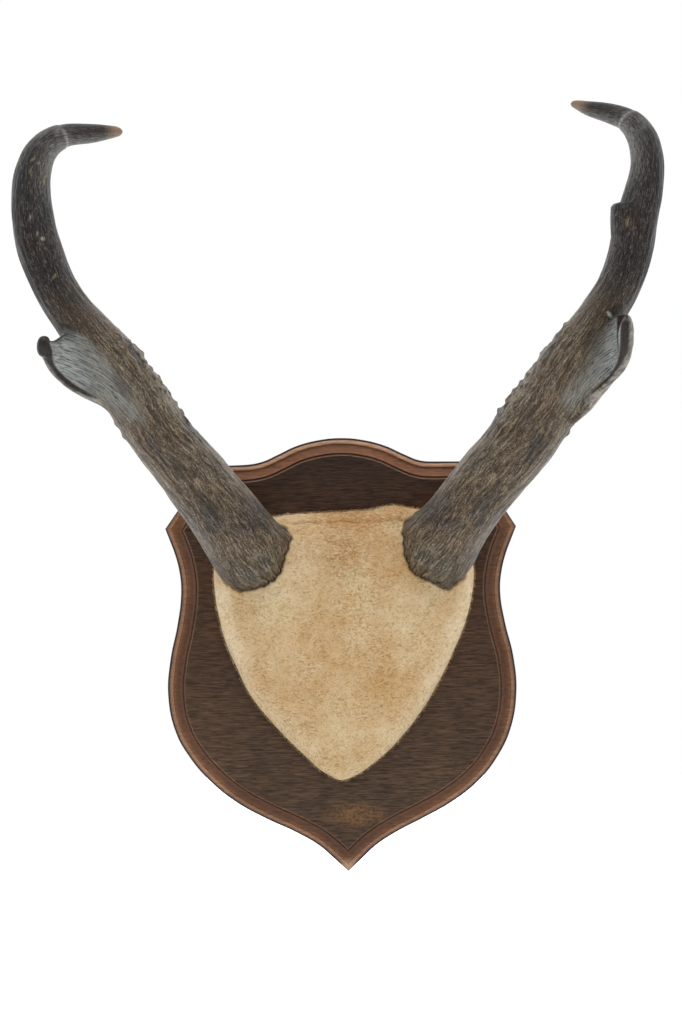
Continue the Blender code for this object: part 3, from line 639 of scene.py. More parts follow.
def prong_blank(name, blade):
    """Flat oval sections, cupped on the inner face and beaded along the lower edge."""
    turn = np.linspace(0.0, 2 * math.pi, PRONG_SIDES, endpoint=False)
    height = 0.5 + 0.5 * np.cos(turn)                      # 0 at the lower edge, 1 at the upper
    swell = np.sign(np.sin(turn)) * np.abs(np.sin(turn)) ** 0.75
    bead = bell(height - 0.1, 0.1)
    rings = (blade["lower"][:, None] + (blade["upper"] - blade["lower"])[:, None] * height[None, :, None])
    out = (blade["thick"][:, None] * swell + blade["rim"][:, None] * bead * swell
           - blade["cup"][:, None] * 4 * height * (1 - height))
    rings = rings + blade["face"][:, None] * out[..., None]
    end = rings[-1]
    # Three smaller rings close the knob at its end.
    closing = [end.mean(0) + (end - end.mean(0)) * scale + blade["travel"][-1] * reach * blade["thick"][-1]
               for scale, reach in ((0.86, 0.35), (0.6, 0.65), (0.3, 0.82))]
    rings = np.concatenate((rings, closing))
    return loft(name, rings, end.mean(0) + blade["travel"][-1] * blade["thick"][-1] * 0.9)


def nearest_rows(points, rows):
    """The number of the row that lies nearest to each point."""
    tree = KDTree(len(rows))
    for i, row in enumerate(rows):
        tree.insert(row, i)
    tree.balance()
    return np.array([tree.find(point)[1] for point in points.tolist()])


def nearest_on_line(points, line):
    """For each point, its place along the middle line and its offsets to the outer side and face."""
    index = nearest_rows(points, line["centre"])
    ahead = ((points - line["centre"][index]) * line["travel"][index]).sum(1)
    other = np.clip(index + np.where(ahead > 0, 1, -1), 0, len(line["centre"]) - 1)
    gap = np.maximum(np.abs(line["along"][other] - line["along"][index]), 1e-9)
    share = np.clip(np.abs(ahead) / gap, 0.0, 1.0)[:, None]
    found = {}
    for key in ("centre", "side", "face", "width", "depth", "along"):
        first, second = line[key][index], line[key][other]
        found[key] = first + (second - first) * (share if first.ndim == 2 else share[:, 0])
    offset = points - found["centre"]
    found["across"] = (offset * unit(found["side"])).sum(1)
    found["front"] = (offset * unit(found["face"])).sum(1)
    return found


def nearest_on_blade(points, blade):
    """For each point, its place on the blade, out from the root and up, and how far it lies off it."""
    columns = np.linspace(0.0, 1.0, BLADE_COLUMNS)
    sheet = (blade["lower"][:, None] + (blade["upper"] - blade["lower"])[:, None] * columns[None, :, None]
             - blade["face"][:, None] * (blade["cup"][:, None] * 4 * columns * (1 - columns))[..., None])
    sheet = sheet.reshape(-1, 3)
    index = nearest_rows(points, sheet)
    row, column = index // len(columns), index % len(columns)
    offset = points - sheet[index]
    return {"out": row / (len(blade["face"]) - 1), "up": columns[column],
            "beyond": np.linalg.norm(offset, axis=1) - blade["thick"][row]}


def foot_reach(angles, foot):
    """How far the foot of a horn reaches in each direction, from its measured outline."""
    table = sorted((math.radians(angle), reach * MM) for angle, reach in foot)
    turns = np.array([angle for angle, _ in table])
    reaches = np.array([reach for _, reach in table])
    return np.interp(angles % (2 * math.pi), turns, reaches, period=2 * math.pi)


def spread_foot(points, table, foot, hide_ring):
    """Flare the foot of a horn to the outline it has on the hide, and tuck it in under the hide."""
    base = np.array(table[1][:2]) * MM
    height = -points[:, 1]
    lift = height - hide_height(points, hide_ring)
    offset = points[:, [0, 2]] - base
    angle = np.arctan2(offset[:, 1], offset[:, 0])
    reach = np.hypot(offset[:, 0], offset[:, 1])
    # How far the plain foot reaches where it passes through the hide.
    level = (np.abs(lift) < 2.0 * MM) & (reach < FOOT_AREA)
    sector = ((angle[level] + math.pi) / (2 * math.pi) * FOOT_SECTORS).astype(int) % FOOT_SECTORS
    counts = np.maximum(np.bincount(sector, minlength=FOOT_SECTORS), 1)
    means = np.bincount(sector, reach[level], minlength=FOOT_SECTORS) / counts
    middles = (np.arange(FOOT_SECTORS) + 0.5) / FOOT_SECTORS * 2 * math.pi - math.pi
    plain = np.interp(angle, middles[means > 0], means[means > 0], period=2 * math.pi)
    around = np.column_stack((np.cos(angle), np.sin(angle), lift / (30 * MM)))
    ragged = noise_at(around, 0.16) * FOOT_RAGGED
    grow = np.clip(foot_reach(angle, foot) - plain, -4 * MM, 9 * MM) + ragged
    tuck = smoothstep(-1.5 * MM, -7.0 * MM, lift)
    shift = grow * (1.0 - smoothstep(0.0, FLARE_HEIGHT, lift)) * (1.0 - tuck) - FOOT_TUCK * tuck
    shift *= reach < FOOT_AREA
    levels, xs, zs = ([row[i] * MM for row in table[:5]] for i in (2, 0, 1))
    # It spreads away from the middle line of the horn.
    direction = np.column_stack((points[:, 0] - np.interp(height, levels, xs), np.zeros(len(points)),
                                 points[:, 2] - np.interp(height, levels, zs)))
    return points + unit(direction) * shift[:, None], np.where(reach < FOOT_AREA, lift, 1.0)


def spots(points, marks):
    """How strongly each point is touched by a list of spots: x, z, half width, half height, lean."""
    touched = np.zeros(len(points))
    for x, z, wide, tall, lean in marks:
        turn = math.radians(lean)
        dx, dz = points[:, 0] / MM - x, points[:, 2] / MM - z
        over = (dx * math.cos(turn) - dz * math.sin(turn)) / (wide + 0.3)
        up = (dx * math.sin(turn) + dz * math.cos(turn)) / (tall + 0.3)
        touched = np.maximum(touched, np.exp(-(over ** 2 + up ** 2) ** 2))
    return touched


def grow_prong(piece, line, blade):
    """Melt the prong's blade into the shaft where the two meet, as one growth."""
    points = places(piece)
    on_line, on_blade = nearest_on_line(points, line), nearest_on_blade(points, blade)
    ring = np.hypot(on_line["across"] / on_line["width"], on_line["front"] / on_line["depth"])
    off_shaft = np.abs((ring - 1.0) * on_line["width"])
    joint = np.clip(1.0 - np.maximum(off_shaft, np.abs(on_blade["beyond"])) / JOINT_REACH, 0.0, 1.0)
    # The upper edge of the blade stays crisp.
    joint *= 1.0 - 0.85 * smoothstep(0.86, 0.95, on_blade["up"])
    group = piece.vertex_groups.new(name="joint")
    for level in range(1, 11):
        chosen = np.nonzero((joint * 10).astype(int) == level)[0]
        if len(chosen):
            group.add(chosen.tolist(), level / 10, "REPLACE")
    for _ in range(3):
        apply_modifier(piece, "SMOOTH", factor=0.9, iterations=25, vertex_group="joint")
    apply_modifier(piece, "SMOOTH", factor=0.5, iterations=3)
    piece.vertex_groups.clear()


def raise_ledge(points, front, ledge):
    """Pull a flap out of a horn's inner edge, and give the painted shade along its top and its line."""
    edge, top, foot_z, plain_low, plain_high = ledge
    x, z = points[:, 0] / MM, points[:, 2] / MM
    plain = plain_low + (plain_high - plain_low) * (z - foot_z) / (top - foot_z)
    tall = smoothstep(foot_z, foot_z + 4, z) * (1 - smoothstep(top - 0.5, top + 0.5, z))
    near = 1 - smoothstep(0.0, 9.0, x - plain)
    near *= smoothstep(-13 * MM, -5 * MM, front) * (z > foot_z) * (z < top + 1)
    # Its upper corner is rounded.
    edge = edge + 3.6 * (1 - np.sqrt(1 - np.clip((z - top + 3.6) / 3.6, 0, 1) ** 2))
    points[:, 0] -= np.clip(plain - edge, 0, None) * tall * near * MM
    step_shade = bell(x - plain - 7.0, 0.9) * tall * smoothstep(foot_z + 6, top - 4, z)
    return np.maximum(step_shade * 0.7, bell(z - top, 0.9) * (x < plain + 4)) * 0.8


def make_horn(name, horn, hide_ring):
    """One horn: shaft and prong grown together, then roughened as horn grows."""
    line = middle_line(horn["line"], horn["outer"])
    blade = prong_frame(horn["prong"])
    piece = shaft_blank(name, line)
    blank = prong_blank(name + "_blade", blade)
    only(piece)
    blank.select_set(True)
    bpy.ops.object.join()
    apply_modifier(piece, "REMESH", mode="VOXEL", voxel_size=HORN_VOXEL)
    grow_prong(piece, line, blade)
    points, lift = spread_foot(places(piece), horn["line"], horn["foot"], hide_ring)
    move_points(piece, points)

    # Fibres run up the shaft, and over the prong in arcs that leave the shaft sideways.
    on_line, on_blade = nearest_on_line(points, line), nearest_on_blade(points, blade)
    facing = outward(piece)
    turn = np.arctan2(on_line["front"] / on_line["depth"], on_line["across"] / on_line["width"])
    along = on_line["along"]
    grain = np.column_stack((np.cos(turn) * AROUND, np.sin(turn) * AROUND, along))
    dx, dz = points[:, 0] - horn["fan"][0] * MM, points[:, 2] - horn["fan"][1] * MM
    fan = np.column_stack((np.hypot(dx, dz), points[:, 1] * 0.2, np.arctan2(dz, dx) * FAN_RADIUS))
    on_prong = smoothstep(0.2, 0.45, on_blade["out"])
    on_prong *= 1 - smoothstep(1.5 * MM, 4 * MM, on_blade["beyond"])
    towards = smoothstep(0.25, -0.1, facing[:, 1])
    rim = smoothstep(-0.7 * MM, 0.7 * MM, depth_inside(points, metres(horn["rim"]))) * on_prong * towards
    inside = depth_inside(points, metres(horn["hollow"]))
    # The hollow's edge is crisp on the prong and fades out softly down the shaft.
    soft = 9.5 * MM - 8.7 * MM * smoothstep(0.35, 0.6, on_blade["out"]) * on_prong
    top = max(z for _, z in horn["hollow"]) * MM
    soft *= 1.0 - 0.85 * smoothstep(top - 16 * MM, top - 5 * MM, points[:, 2])
    inside = inside + noise_at(points, 7 * MM) * 0.25 * soft
    hollow = smoothstep(-0.85 * soft, 0.8 * soft, inside) * towards * (1 - rim)
    hollow *= 0.65 + 0.35 * smoothstep(0.25, 0.5, on_blade["out"])
    # A painted shadow runs under the crisp upper lip of the prong.
    lip = bell(on_blade["up"] - 1.0, 0.05) * on_prong * (1 - rim)

    # Ropy ridges along the fibres, low swells, and knobs along the inner edge.
    body = 1.0 - smoothstep(0.80, 0.93, along / line["along"][-1])
    fanned = np.maximum(hollow, on_prong)

    def ridges(layout):
        ropes = np.abs(noise_at(layout / (1.0, 1.0, 7.0), ROPE_WIDTH)) * 1.5 - 0.35
        return (ropes * 0.55 + noise_at(layout / (1.0, 1.0, 6.0) + 0.3, STRAND_WIDTH) * 0.20) * MM

    rope, strand = ridges(grain), ridges(fan)
    foot = 1.0 - smoothstep(0.0, 22 * MM, lift)
    depth = rope + (strand * 0.45 - rope) * fanned
    depth *= (0.30 + 0.70 * body) * (1.0 - 0.9 * rim) * (1.0 + 1.2 * foot)
    depth += noise_at(grain / (1.0, 1.0, 2.2) + 0.7, SWELL_SIZE) * SWELL_RISE * (1.0 - fanned) * body
    low, high = KNOBBY_LENGTH
    knobby = smoothstep(low, low + 20 * MM, along) * (1 - smoothstep(high - 25 * MM, high, along))
    knobby *= smoothstep(0.25, 0.9, -np.cos(turn))       # on the inner side of the shaft
    depth += (np.clip(noise_at(points, KNOB_SIZE), 0.0, None) * 2.6 + 0.55) * knobby * MM
    for x, z, size, rise in horn["warts"]:
        depth += (bell(from_mark(points, x, z), size * MM)
                  * bell(on_line["front"], 2.2 * size * MM) * rise * MM)

    # A growth ring near the tip, with the newer horn beyond it a little thinner.
    x, z, slant = horn["ring"]
    hidden = np.where(facing[:, 1] < -0.6, 0.0, 1.0)
    ring_at = along[np.argmin(from_mark(points, x, z) + hidden)]
    past = along + slant * on_line["across"] - ring_at
    depth -= smoothstep(-0.8 * MM, 0.8 * MM, past) * RING_STEP * (1 - smoothstep(0, 25 * MM, past))
    # Short crevices run up from the very edge of the foot, and are painted dark as the shade in them.
    crevice = smoothstep(0.15, 0.5, noise_at(grain / (1.0, 1.0, 12.0) + 0.9, 2.6 * MM))
    crevice *= 1.0 - smoothstep(2.5 * MM, 12 * MM, lift)
    depth -= crevice * CREVICE_DEPTH
    # The deeper grooves near the foot are painted dark too, as painted shade.
    dark = np.maximum(smoothstep(-0.1 * MM, -0.45 * MM, rope) * foot * 0.8, crevice * 0.9)
    points = points + facing * depth[:, None]
    if horn["ledge"]:
        dark = np.maximum(dark, raise_ledge(points, on_line["front"], horn["ledge"]))
    move_points(piece, points)

    front = facing[:, 1] < 0.1
    golden, pale, chip, dusky = (spots(points, horn[mark]) * front
                                 for mark in ("golden", "pale", "chip", "dusky"))
    # The beam is frosted below the growth ring, its inner side is painted pale as a painted sheen from the
    # bright surroundings, and the ring itself is pale.
    sideways = on_line["across"] / on_line["width"]
    painted_inner_sheen = smoothstep(0.1, -0.9, sideways) * smoothstep(ring_at - 70 * MM, ring_at, along) * 0.45
    below_ring = bell(past + 7 * MM, 12 * MM) * 0.28 * (0.5 + noise_at(points, 5 * MM) * 0.8)
    pale_ring = bell(past, 1.8 * MM) * (0.25 + 0.75 * smoothstep(0.7, -0.8, sideways))
    # The strip of the prong outside its rim is painted pale too, a painted reflection of the bright
    # surroundings on its rounded outer edge.
    levels, edges = np.array(sorted((z, x) for x, z in horn["rim"][horn["strip"]:])).T * MM
    beyond_rim = (points[:, 0] - np.interp(points[:, 2], levels, edges)) * horn["outer"]
    strip = smoothstep(-0.6 * MM, 0.6 * MM, beyond_rim) * on_prong * (1 - rim) * 0.5
    # The light marks carry the painted sheen and the painted reflection along with the real pale spots,
    # chip and ring.
    # A chip has gone right through the skin, so its value passes 1 and the fibres don't break it.
    light = np.max((pale * 0.6, chip * 3.0, pale_ring, painted_inner_sheen, below_ring, strip), axis=0)
    # Painted shade: a contact shadow where the foot meets the hide, and the shadow under the prong's lip.
    under_foot = (1.0 - smoothstep(0.1 * MM, 1.1 * MM, lift)) * 0.6
    dark = np.max((dark, lip * 0.9, under_foot, dusky * 0.45), axis=0)
    tip = smoothstep(14 * MM, 3 * MM, line["along"][-1] - along)
    store(piece, "grain", grain)
    store(piece, "fan", fan)
    store(piece, "regions", np.column_stack((hollow, rim, tip)))
    store(piece, "marks", np.column_stack((golden, light, dark)))
    smooth(piece)
    return piece


# Hide -----------------------------------------------------------------------------------------

def dome_top(z):
    """Height of the dome's crown above its lower edge, lower towards the snout."""
    return DOME_HEIGHT_LOW + (DOME_HEIGHT_HIGH - DOME_HEIGHT_LOW) * smoothstep(-60.0, 50.0, z / MM)


def skin_height(z, lift):
    """Height above the wall of the dome's skin; lift runs from 0 at its edge to 1 at its crown."""
    return CAP_BASE + DOME_WALL + (dome_top(z) - DOME_WALL) * lift


def hide_height(points, ring):
    """Height above the wall of the dome's skin at each point, seen from the front."""
    out = ring - CAP_CENTRE
    order = np.argsort(np.arctan2(out[:, 1], out[:, 0]))
    angles = np.arctan2(out[:, 1], out[:, 0])[order]
    reaches = np.hypot(out[:, 0], out[:, 1])[order]
    dx, dz = points[:, 0] - CAP_CENTRE[0], points[:, 2] - CAP_CENTRE[1]
    share = np.hypot(dx, dz) / np.interp(np.arctan2(dz, dx), angles, reaches, period=2 * math.pi)
    return skin_height(points[:, 2], np.sqrt(np.clip(1.0 - share ** DOME_POWER, 0.0, 1.0)))


def gap_to_horns(points, horns):
    """How far each point lies outside the horns; negative inside them."""
    near = np.full(len(points), 1.0)
    for horn, (x, z) in zip(horns, (LINE_LEFT[1][:2], LINE_RIGHT[1][:2])):
        bm = bmesh.new()
        bm.from_mesh(horn.data)
        tree = BVHTree.FromBMesh(bm)
        bm.free()
        for i in np.nonzero(from_mark(points, x, z) < HORN_NEAR)[0]:
            point = Vector(points[i])
            place, normal, _, far = tree.find_nearest(point)
            near[i] = min(near[i], far if (point - place).dot(normal) > 0 else -far)
    return near


def make_hide(horns, ring):
    """Buckskin drawn over the skull cap, tucked in at the shield and round the foot of each horn."""
    centre = np.array(CAP_CENTRE)
    # Its rings are spaced evenly over a dome that reaches out 80 mm and up 33 mm.
    turn = np.linspace(0.0, math.pi / 2, 400)
    shares, lifts = np.cos(turn) ** (2 / DOME_POWER), np.sin(turn)
    run = np.concatenate(([0.0], np.cumsum(np.hypot(np.diff(shares) * 80, np.diff(lifts) * 33))))
    even = np.linspace(0.0, run[-1], HIDE_RINGS + 1)[:-1]
    shares, lifts = np.interp(even, run, shares), np.interp(even, run, lifts)
    tucked = centre + (ring - centre) * HIDE_TUCK
    rings = [np.column_stack((tucked[:, 0], np.full(len(ring), -CAP_BASE), tucked[:, 1])),
             np.column_stack((ring[:, 0], np.full(len(ring), -CAP_BASE - HIDE_EDGE), ring[:, 1]))]
    for share, lift in zip(shares, lifts):
        flat = centre + (ring - centre) * share
        rings.append(np.column_stack((flat[:, 0], -skin_height(flat[:, 1], lift), flat[:, 1])))
    top = np.array([[centre[0], -CAP_BASE - dome_top(centre[1]), centre[1]]])
    hide = loft("buckskin_cover", np.array(rings), top)
    with opened(hide.data) as bm:
        open_end = [face for face in bm.faces if len(face.verts) > 4]
        bmesh.ops.delete(bm, geom=open_end, context="FACES_ONLY")

    points = places(hide)
    facing = outward(hide)
    x, z = points[:, 0] / MM, points[:, 2] / MM
    on_top = smoothstep(23 * MM, 29 * MM, -points[:, 1])
    swell = noise_at(points, 30 * MM) * 0.5 + noise_at(points, 9 * MM) * 0.16
    swell += noise_at(points / (2.2, 1.0, 1.0), 2.6 * MM) * 0.09
    # The top edge is rolled over, with a broken crease under it and a pinched lump by the right horn.
    wobble = noise_at(points, 12 * MM) * 1.7
    span = smoothstep(-44, -36, x) * (1 - smoothstep(38, 44, x)) * on_top
    broken_up = np.clip(0.55 + noise_at(points, 5 * MM) * 0.9, 0, 1)
    crease = bell(z - HIDE_CREASE + wobble, 1.0) * span * broken_up
    swell += bell(z - HIDE_CREASE - 4.2, 2.8) * span * (1.1 + noise_at(points, 4 * MM) * 0.7) - crease * 1.3
    pinched = bell(x - 34, 9) * bell(z - 88, 6)
    swell += pinched * (1.8 + noise_at(points / (1.0, 1.0, 2.0), 3.2 * MM) * 1.5)

    near = gap_to_horns(points, horns)
    rise = np.exp(-np.clip(near, 0, None) / (3.2 * MM)) * 1.6
    dip = (1.0 - smoothstep(-0.6 * MM, 1.1 * MM, near)) * 3.0
    move_points(hide, points + facing * ((swell + rise - dip) * MM)[:, None])
    orange = sum(bell(x - stain_x, wide) * bell(z - stain_z, tall) * strength
                 for stain_x, stain_z, wide, tall, strength in HIDE_STAINS)
    # The stain has also washed over the hide's top.
    orange = orange + bell(x - 3, 34) * smoothstep(50, 78, z) * 0.75
    store(hide, "touch", np.column_stack((near, orange, np.clip(crease, 0, 1))))
    # The hide is painted paler near its outline, most at its sides, as a painted sheen, and in a patch left
    # of the middle.
    beside = np.abs(x) / 80.0 * smoothstep(70, 40, z)
    edge_sheen_and_pale_patch = smoothstep(16 * MM, 2 * MM, depth_inside(points, ring)) * (0.2 + 0.8 * beside)
    store(hide, "edge_sheen_and_pale_patch", np.maximum(edge_sheen_and_pale_patch, bell(x + 27, 9) * bell(z - 64, 22) * 0.55))

    with opened(hide.data) as bm:
        inside = [vert for vert in bm.verts if near[vert.index] < -HIDE_CUT]
        bmesh.ops.delete(bm, geom=inside, context="VERTS")
    outer = len(hide.data.polygons)
    area = sum(face.area for face in hide.data.polygons)
    apply_modifier(hide, "SOLIDIFY", thickness=HIDE_THICKNESS, offset=-1.0)
    smooth(hide)
    return hide, raise_nap(hide, outer), area


def raise_nap(hide, outer):
    """Short suede fibres standing off the hide, each a three-sided curl closed at both ends.

    outer is how many of the hide's faces, counted from the first, are its outer skin.
    """
    dice = np.random.default_rng(7)
    faces = [face for face in hide.data.polygons[:outer] if len(face.vertices) == 4]
    areas = np.array([face.area for face in faces])
    chosen = dice.choice(len(faces), NAP_COUNT, p=areas / areas.sum())
    corners = places(hide)[np.array([list(face.vertices) for face in faces])[chosen]]
    normals = np.array([tuple(face.normal) for face in faces])[chosen]
    u, v = dice.random((2, NAP_COUNT, 1))
    roots = ((corners[:, 0] * (1 - u) + corners[:, 1] * u) * (1 - v)
             + (corners[:, 3] * (1 - u) + corners[:, 2] * u) * v)
    # They lie mostly sideways, and turn a little with each patch of the hide.
    angle = (noise_at(roots, 11 * MM) * 1.6 + dice.normal(0.0, 0.5, NAP_COUNT)
             + math.pi * dice.integers(0, 2, NAP_COUNT))
    lie = np.column_stack((np.cos(angle), np.zeros(NAP_COUNT), np.sin(angle)))
    lie = unit(lie - normals * (lie * normals).sum(1)[:, None])
    side = np.cross(normals, lie)
    length = dice.uniform(*NAP_LENGTH, (NAP_COUNT, 1)) * MM
    lift = dice.uniform(*NAP_LIFT, (NAP_COUNT, 1)) * MM
    lift *= 1.0 + 1.6 * smoothstep(0.6, 0.2, np.abs(normals[:, 1:2]))
    curl = dice.uniform(-0.35, 0.35, (NAP_COUNT, 1))
    path = [roots - normals * 0.1 * MM,
            roots + lie * length * 0.55 + side * length * curl * 0.5 + normals * lift,
            roots + lie * length + side * length * curl * -0.3 + normals * lift * 1.1]
    rings = []
    for centre, thick in zip(path[:2], (NAP_RADIUS, 0.75 * NAP_RADIUS)):
        for turn in np.radians((90, 210, 330)):
            rings.append(centre + (side * math.cos(turn) + normals * math.sin(turn)) * thick)
    points = np.stack(rings + [path[2]], axis=1).reshape(-1, 3)
    one = np.array([(2, 1, 0), (0, 1, 4), (0, 4, 3), (1, 2, 5), (1, 5, 4), (2, 0, 3), (2, 3, 5),
                    (3, 4, 6), (4, 5, 6), (5, 3, 6)])
    triangles = (one[None] + np.arange(NAP_COUNT)[:, None, None] * 7).reshape(-1, 3)
    nap = mesh_object("buckskin_nap", points, triangles.tolist())
    store(nap, "shade", np.repeat(dice.random(NAP_COUNT), 7))
    smooth(nap)
    return nap


# Fixings --------------------------------------------------------------------------------------

def make_cap_screw():
    """A domed, slotted wood screw with a cut thread, lying along Y with its head at the back."""
    middle = -SCREW_TOP - SCREW_HEAD_HEIGHT / 2
    deselect()
    bpy.ops.mesh.primitive_cylinder_add(vertices=ROUND_SIDES, radius=SCREW_HEAD_RADIUS,
                                        depth=SCREW_HEAD_HEIGHT, location=(0.0, middle, 0.0),
                                        rotation=(math.radians(90), 0.0, 0.0))
    screw = bpy.context.object
    apply_modifier(screw, "BEVEL", width=0.85 * MM, segments=5, limit_method="ANGLE")
    deselect()
    bpy.ops.mesh.primitive_cube_add(size=1.0, location=(0.0, -SCREW_TOP, 0.0),
                                    scale=(3 * SCREW_HEAD_RADIUS, 2 * SCREW_SLOT, SCREW_SLOT))
    cut_away(screw, bpy.context.object)

    start, length = SCREW_TOP + SCREW_HEAD_HEIGHT - 0.5 * MM, SCREW_LENGTH - SCREW_HEAD_HEIGHT
    run = np.linspace(0.0, length, THREAD_GRID[0])[:, None]
    turn = np.linspace(0.0, 2 * math.pi, THREAD_GRID[1], endpoint=False)[None, :]
    # The thread is cut into the plain shank, and starts a third of the way along it.
    crest = np.abs(((run / THREAD_PITCH + turn / (2 * math.pi)) % 1.0) * 2 - 1) ** 2
    threaded = smoothstep(0.3 * length, 0.36 * length, run)
    pointed = smoothstep(0.8 * length, 1.06 * length, run)
    radius = SCREW_RADIUS * (1 - threaded * 0.3 * (1 - crest)) * (1 - pointed)
    rings = np.stack((radius * np.cos(turn), np.broadcast_to(-start - run, radius.shape),
                      radius * np.sin(turn)), axis=2)
    shank = loft("shank", rings, (0.0, -start - length - 0.3 * MM, 0.0))
    apply_modifier(screw, "BOOLEAN", operation="UNION", solver="EXACT", object=shank)
    bpy.data.objects.remove(shank, do_unlink=True)
    only(screw)
    bpy.ops.object.transform_apply(location=True, rotation=True, scale=True)
    smooth(screw, 40)
    return screw


def place_copy(piece, name, x, z, turn):
    """A copy of a piece with its own mesh, turned about Y and put at its place on the back."""
    made = linked(name, piece.data.copy())
    made.data.transform(Matrix.Translation((x, 0.0, z)) @ Matrix.Rotation(turn, 4, "Y"))
    return made


def rounded_copy(node, name, width):
    """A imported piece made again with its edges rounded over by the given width."""
    made = only(linked(name, node.data.copy()))
    bpy.ops.object.mode_set(mode="EDIT")
    bpy.ops.mesh.select_all(action="SELECT")
    bpy.ops.mesh.remove_doubles(threshold=0.002 * MM)
    bpy.ops.mesh.dissolve_limited(angle_limit=math.radians(1))
    bpy.ops.object.mode_set(mode="OBJECT")
    apply_modifier(made, "BEVEL", width=width, segments=3, limit_method="ANGLE")
    smooth(made, 40)
    return made


# Finishes -------------------------------------------------------------------------------------

def new_material(name):
    made = bpy.data.materials.new(name)
    made.use_nodes = True
    return made, made.node_tree, made.node_tree.nodes["Principled BSDF"]


def horn_sheath():
    """Pronghorn sheath: keratin grown as fused hairs, then rubbed and weathered.

    It looks dull and near black, full of fine pale fibres, browner in front and painted grey where it
    turns away as a painted sheen, and it shines only on the rubbed rim of the prong.
    """
    made, tree, shader = new_material("weathered_horn_sheath")
    grain, fan, regions, marks = (add(tree, "Attribute", attribute_name=name).outputs["Vector"]
                                  for name in ("grain", "fan", "regions", "marks"))
    (_, forward, along), (hollow, rim, tip), (golden, light, dark) = (
        add(tree, "SeparateXYZ", [vector]).outputs for vector in (grain, regions, marks))

    # On the shaft fibres are about 0.8 mm wide and 9 mm long; on the beam above the prong they are
    # as wide and 4 mm long, and curled.
    beam = add(tree, "MapRange", [along, 0.19, 0.245])
    fibres, strands = [], []
    for place, curl, wander, stretch, run in ((grain, 66.0, 0.0028, 0.085, 0.035),
                                              (grain, 300.0, 0.0020, 0.18, 0.10),
                                              (fan, 150.0, 0.0016, 0.06, 0.06)):
        wave = add(tree, "TexNoise", {"Vector": place, "Scale": curl, "Detail": 2.0})
        bent = add(tree, "VectorMath", [wave.outputs["Color"], (wander, wander, wander), place],
                   operation="MULTIPLY_ADD")
        drawn = add(tree, "Mapping", {"Vector": bent, "Scale": (1.0, 1.0, stretch)})
        fibres.append(add(tree, "TexNoise", {"Vector": drawn, "Scale": 1250.0, "Detail": 3.0,
                                             "Roughness": 0.75}))
        drawn = add(tree, "Mapping", {"Vector": bent, "Scale": (1.0, 1.0, run)})
        strands.append(add(tree, "TexNoise", {"Vector": drawn, "Scale": 700.0, "Detail": 2.0,
                                              "Roughness": 0.55}))
    fanned = bent
    fibre, strand = (add(tree, "MixRGB", [hollow, add(tree, "MixRGB", [beam, low, high]), cupped])
                     for low, high, cupped in (fibres, strands))
    # Broken fibre ends, 0.4 mm wide and 1.2 mm long, make the skin rough all over.
    end = add(tree, "Mapping", {"Vector": grain, "Scale": (1.0, 1.0, 0.35)})
    ends = add(tree, "TexNoise", {"Vector": end, "Scale": 2300.0, "Detail": 1.0, "Distortion": 0.6})
    rough = add(tree, "ValToRGB", [ends],
                stops=[(0.30, 0.36), (0.42, 0.66), (0.50, 1.0), (0.58, 1.44), (0.70, 2.2)])
    hairs = add(tree, "ValToRGB", [fibre],
                stops=[(0.34, 0.32), (0.44, 0.66), (0.50, 1.0), (0.57, 1.42), (0.68, 2.15)])
    weight = add(tree, "MapRange", [strand, 0.36, 0.64, 0.66, 1.36])
    # Slate, brown and grey-green patches about 20 mm wide; the sides of the horn are painted greyer as a
    # painted sheen.
    lying = add(tree, "Mapping", {"Vector": grain, "Scale": (1.0, 1.0, 0.4)})
    patch = add(tree, "TexNoise", {"Vector": lying, "Scale": 52.0, "Detail": 3.0, "Roughness": 0.6})
    front = add(tree, "MapRange", [forward, 0.002, 0.017, 0.5, 0.0])
    tone = add(tree, "ValToRGB", [patch], stops=[
        (0.30, "373430"), (0.39, "443B31"), (0.48, "544634"), (0.60, "564A3A"), (0.70, "585143")])
    side_sheened = add(tree, "MixRGB", [front, tone, "524A3E"])
    # The beam above the prong is nearly black.
    darkest = add(tree, "ValToRGB", [patch], stops=[(0.42, "1C1A18"), (0.60, "241A16")])
    shaft = add(tree, "MixRGB", [beam, side_sheened, darkest])
    for layer in (hairs, rough, weight):
        shaft = add(tree, "MixRGB", [1.0, shaft, layer], blend_type="MULTIPLY")
    # The tips of the fibres have bleached.
    bleached = add(tree, "MapRange", [fibre, 0.54, 0.70, 0.0, 0.5])
    shaft = add(tree, "MixRGB", [bleached, shaft, "888176"])
    cup = add(tree, "ValToRGB", [fibre],
              stops=[(0.32, "686B65"), (0.44, "868984"), (0.53, "979A95"), (0.64, "AAADA8")])
    # Thin dark wrinkles run along the hollow, 1.6 mm apart, wavering and fading in and out.
    across = add(tree, "SeparateXYZ", [fanned])
    turns = add(tree, "Math", [across, 2 * math.pi / 0.0016], operation="MULTIPLY")
    drift = add(tree, "Math", [strand, 16.0, turns], operation="MULTIPLY_ADD")
    wrinkle = add(tree, "Math", [drift], operation="SINE")
    deep = add(tree, "MapRange", [fibre, 0.40, 0.60, 0.15, 0.80])
    lined = add(tree, "MapRange", [wrinkle, 0.38, 0.95, 1.0, deep])
    cupped = add(tree, "MixRGB", [1.0, cup, lined], blend_type="MULTIPLY")
    colour = add(tree, "MixRGB", [hollow, shaft, cupped])
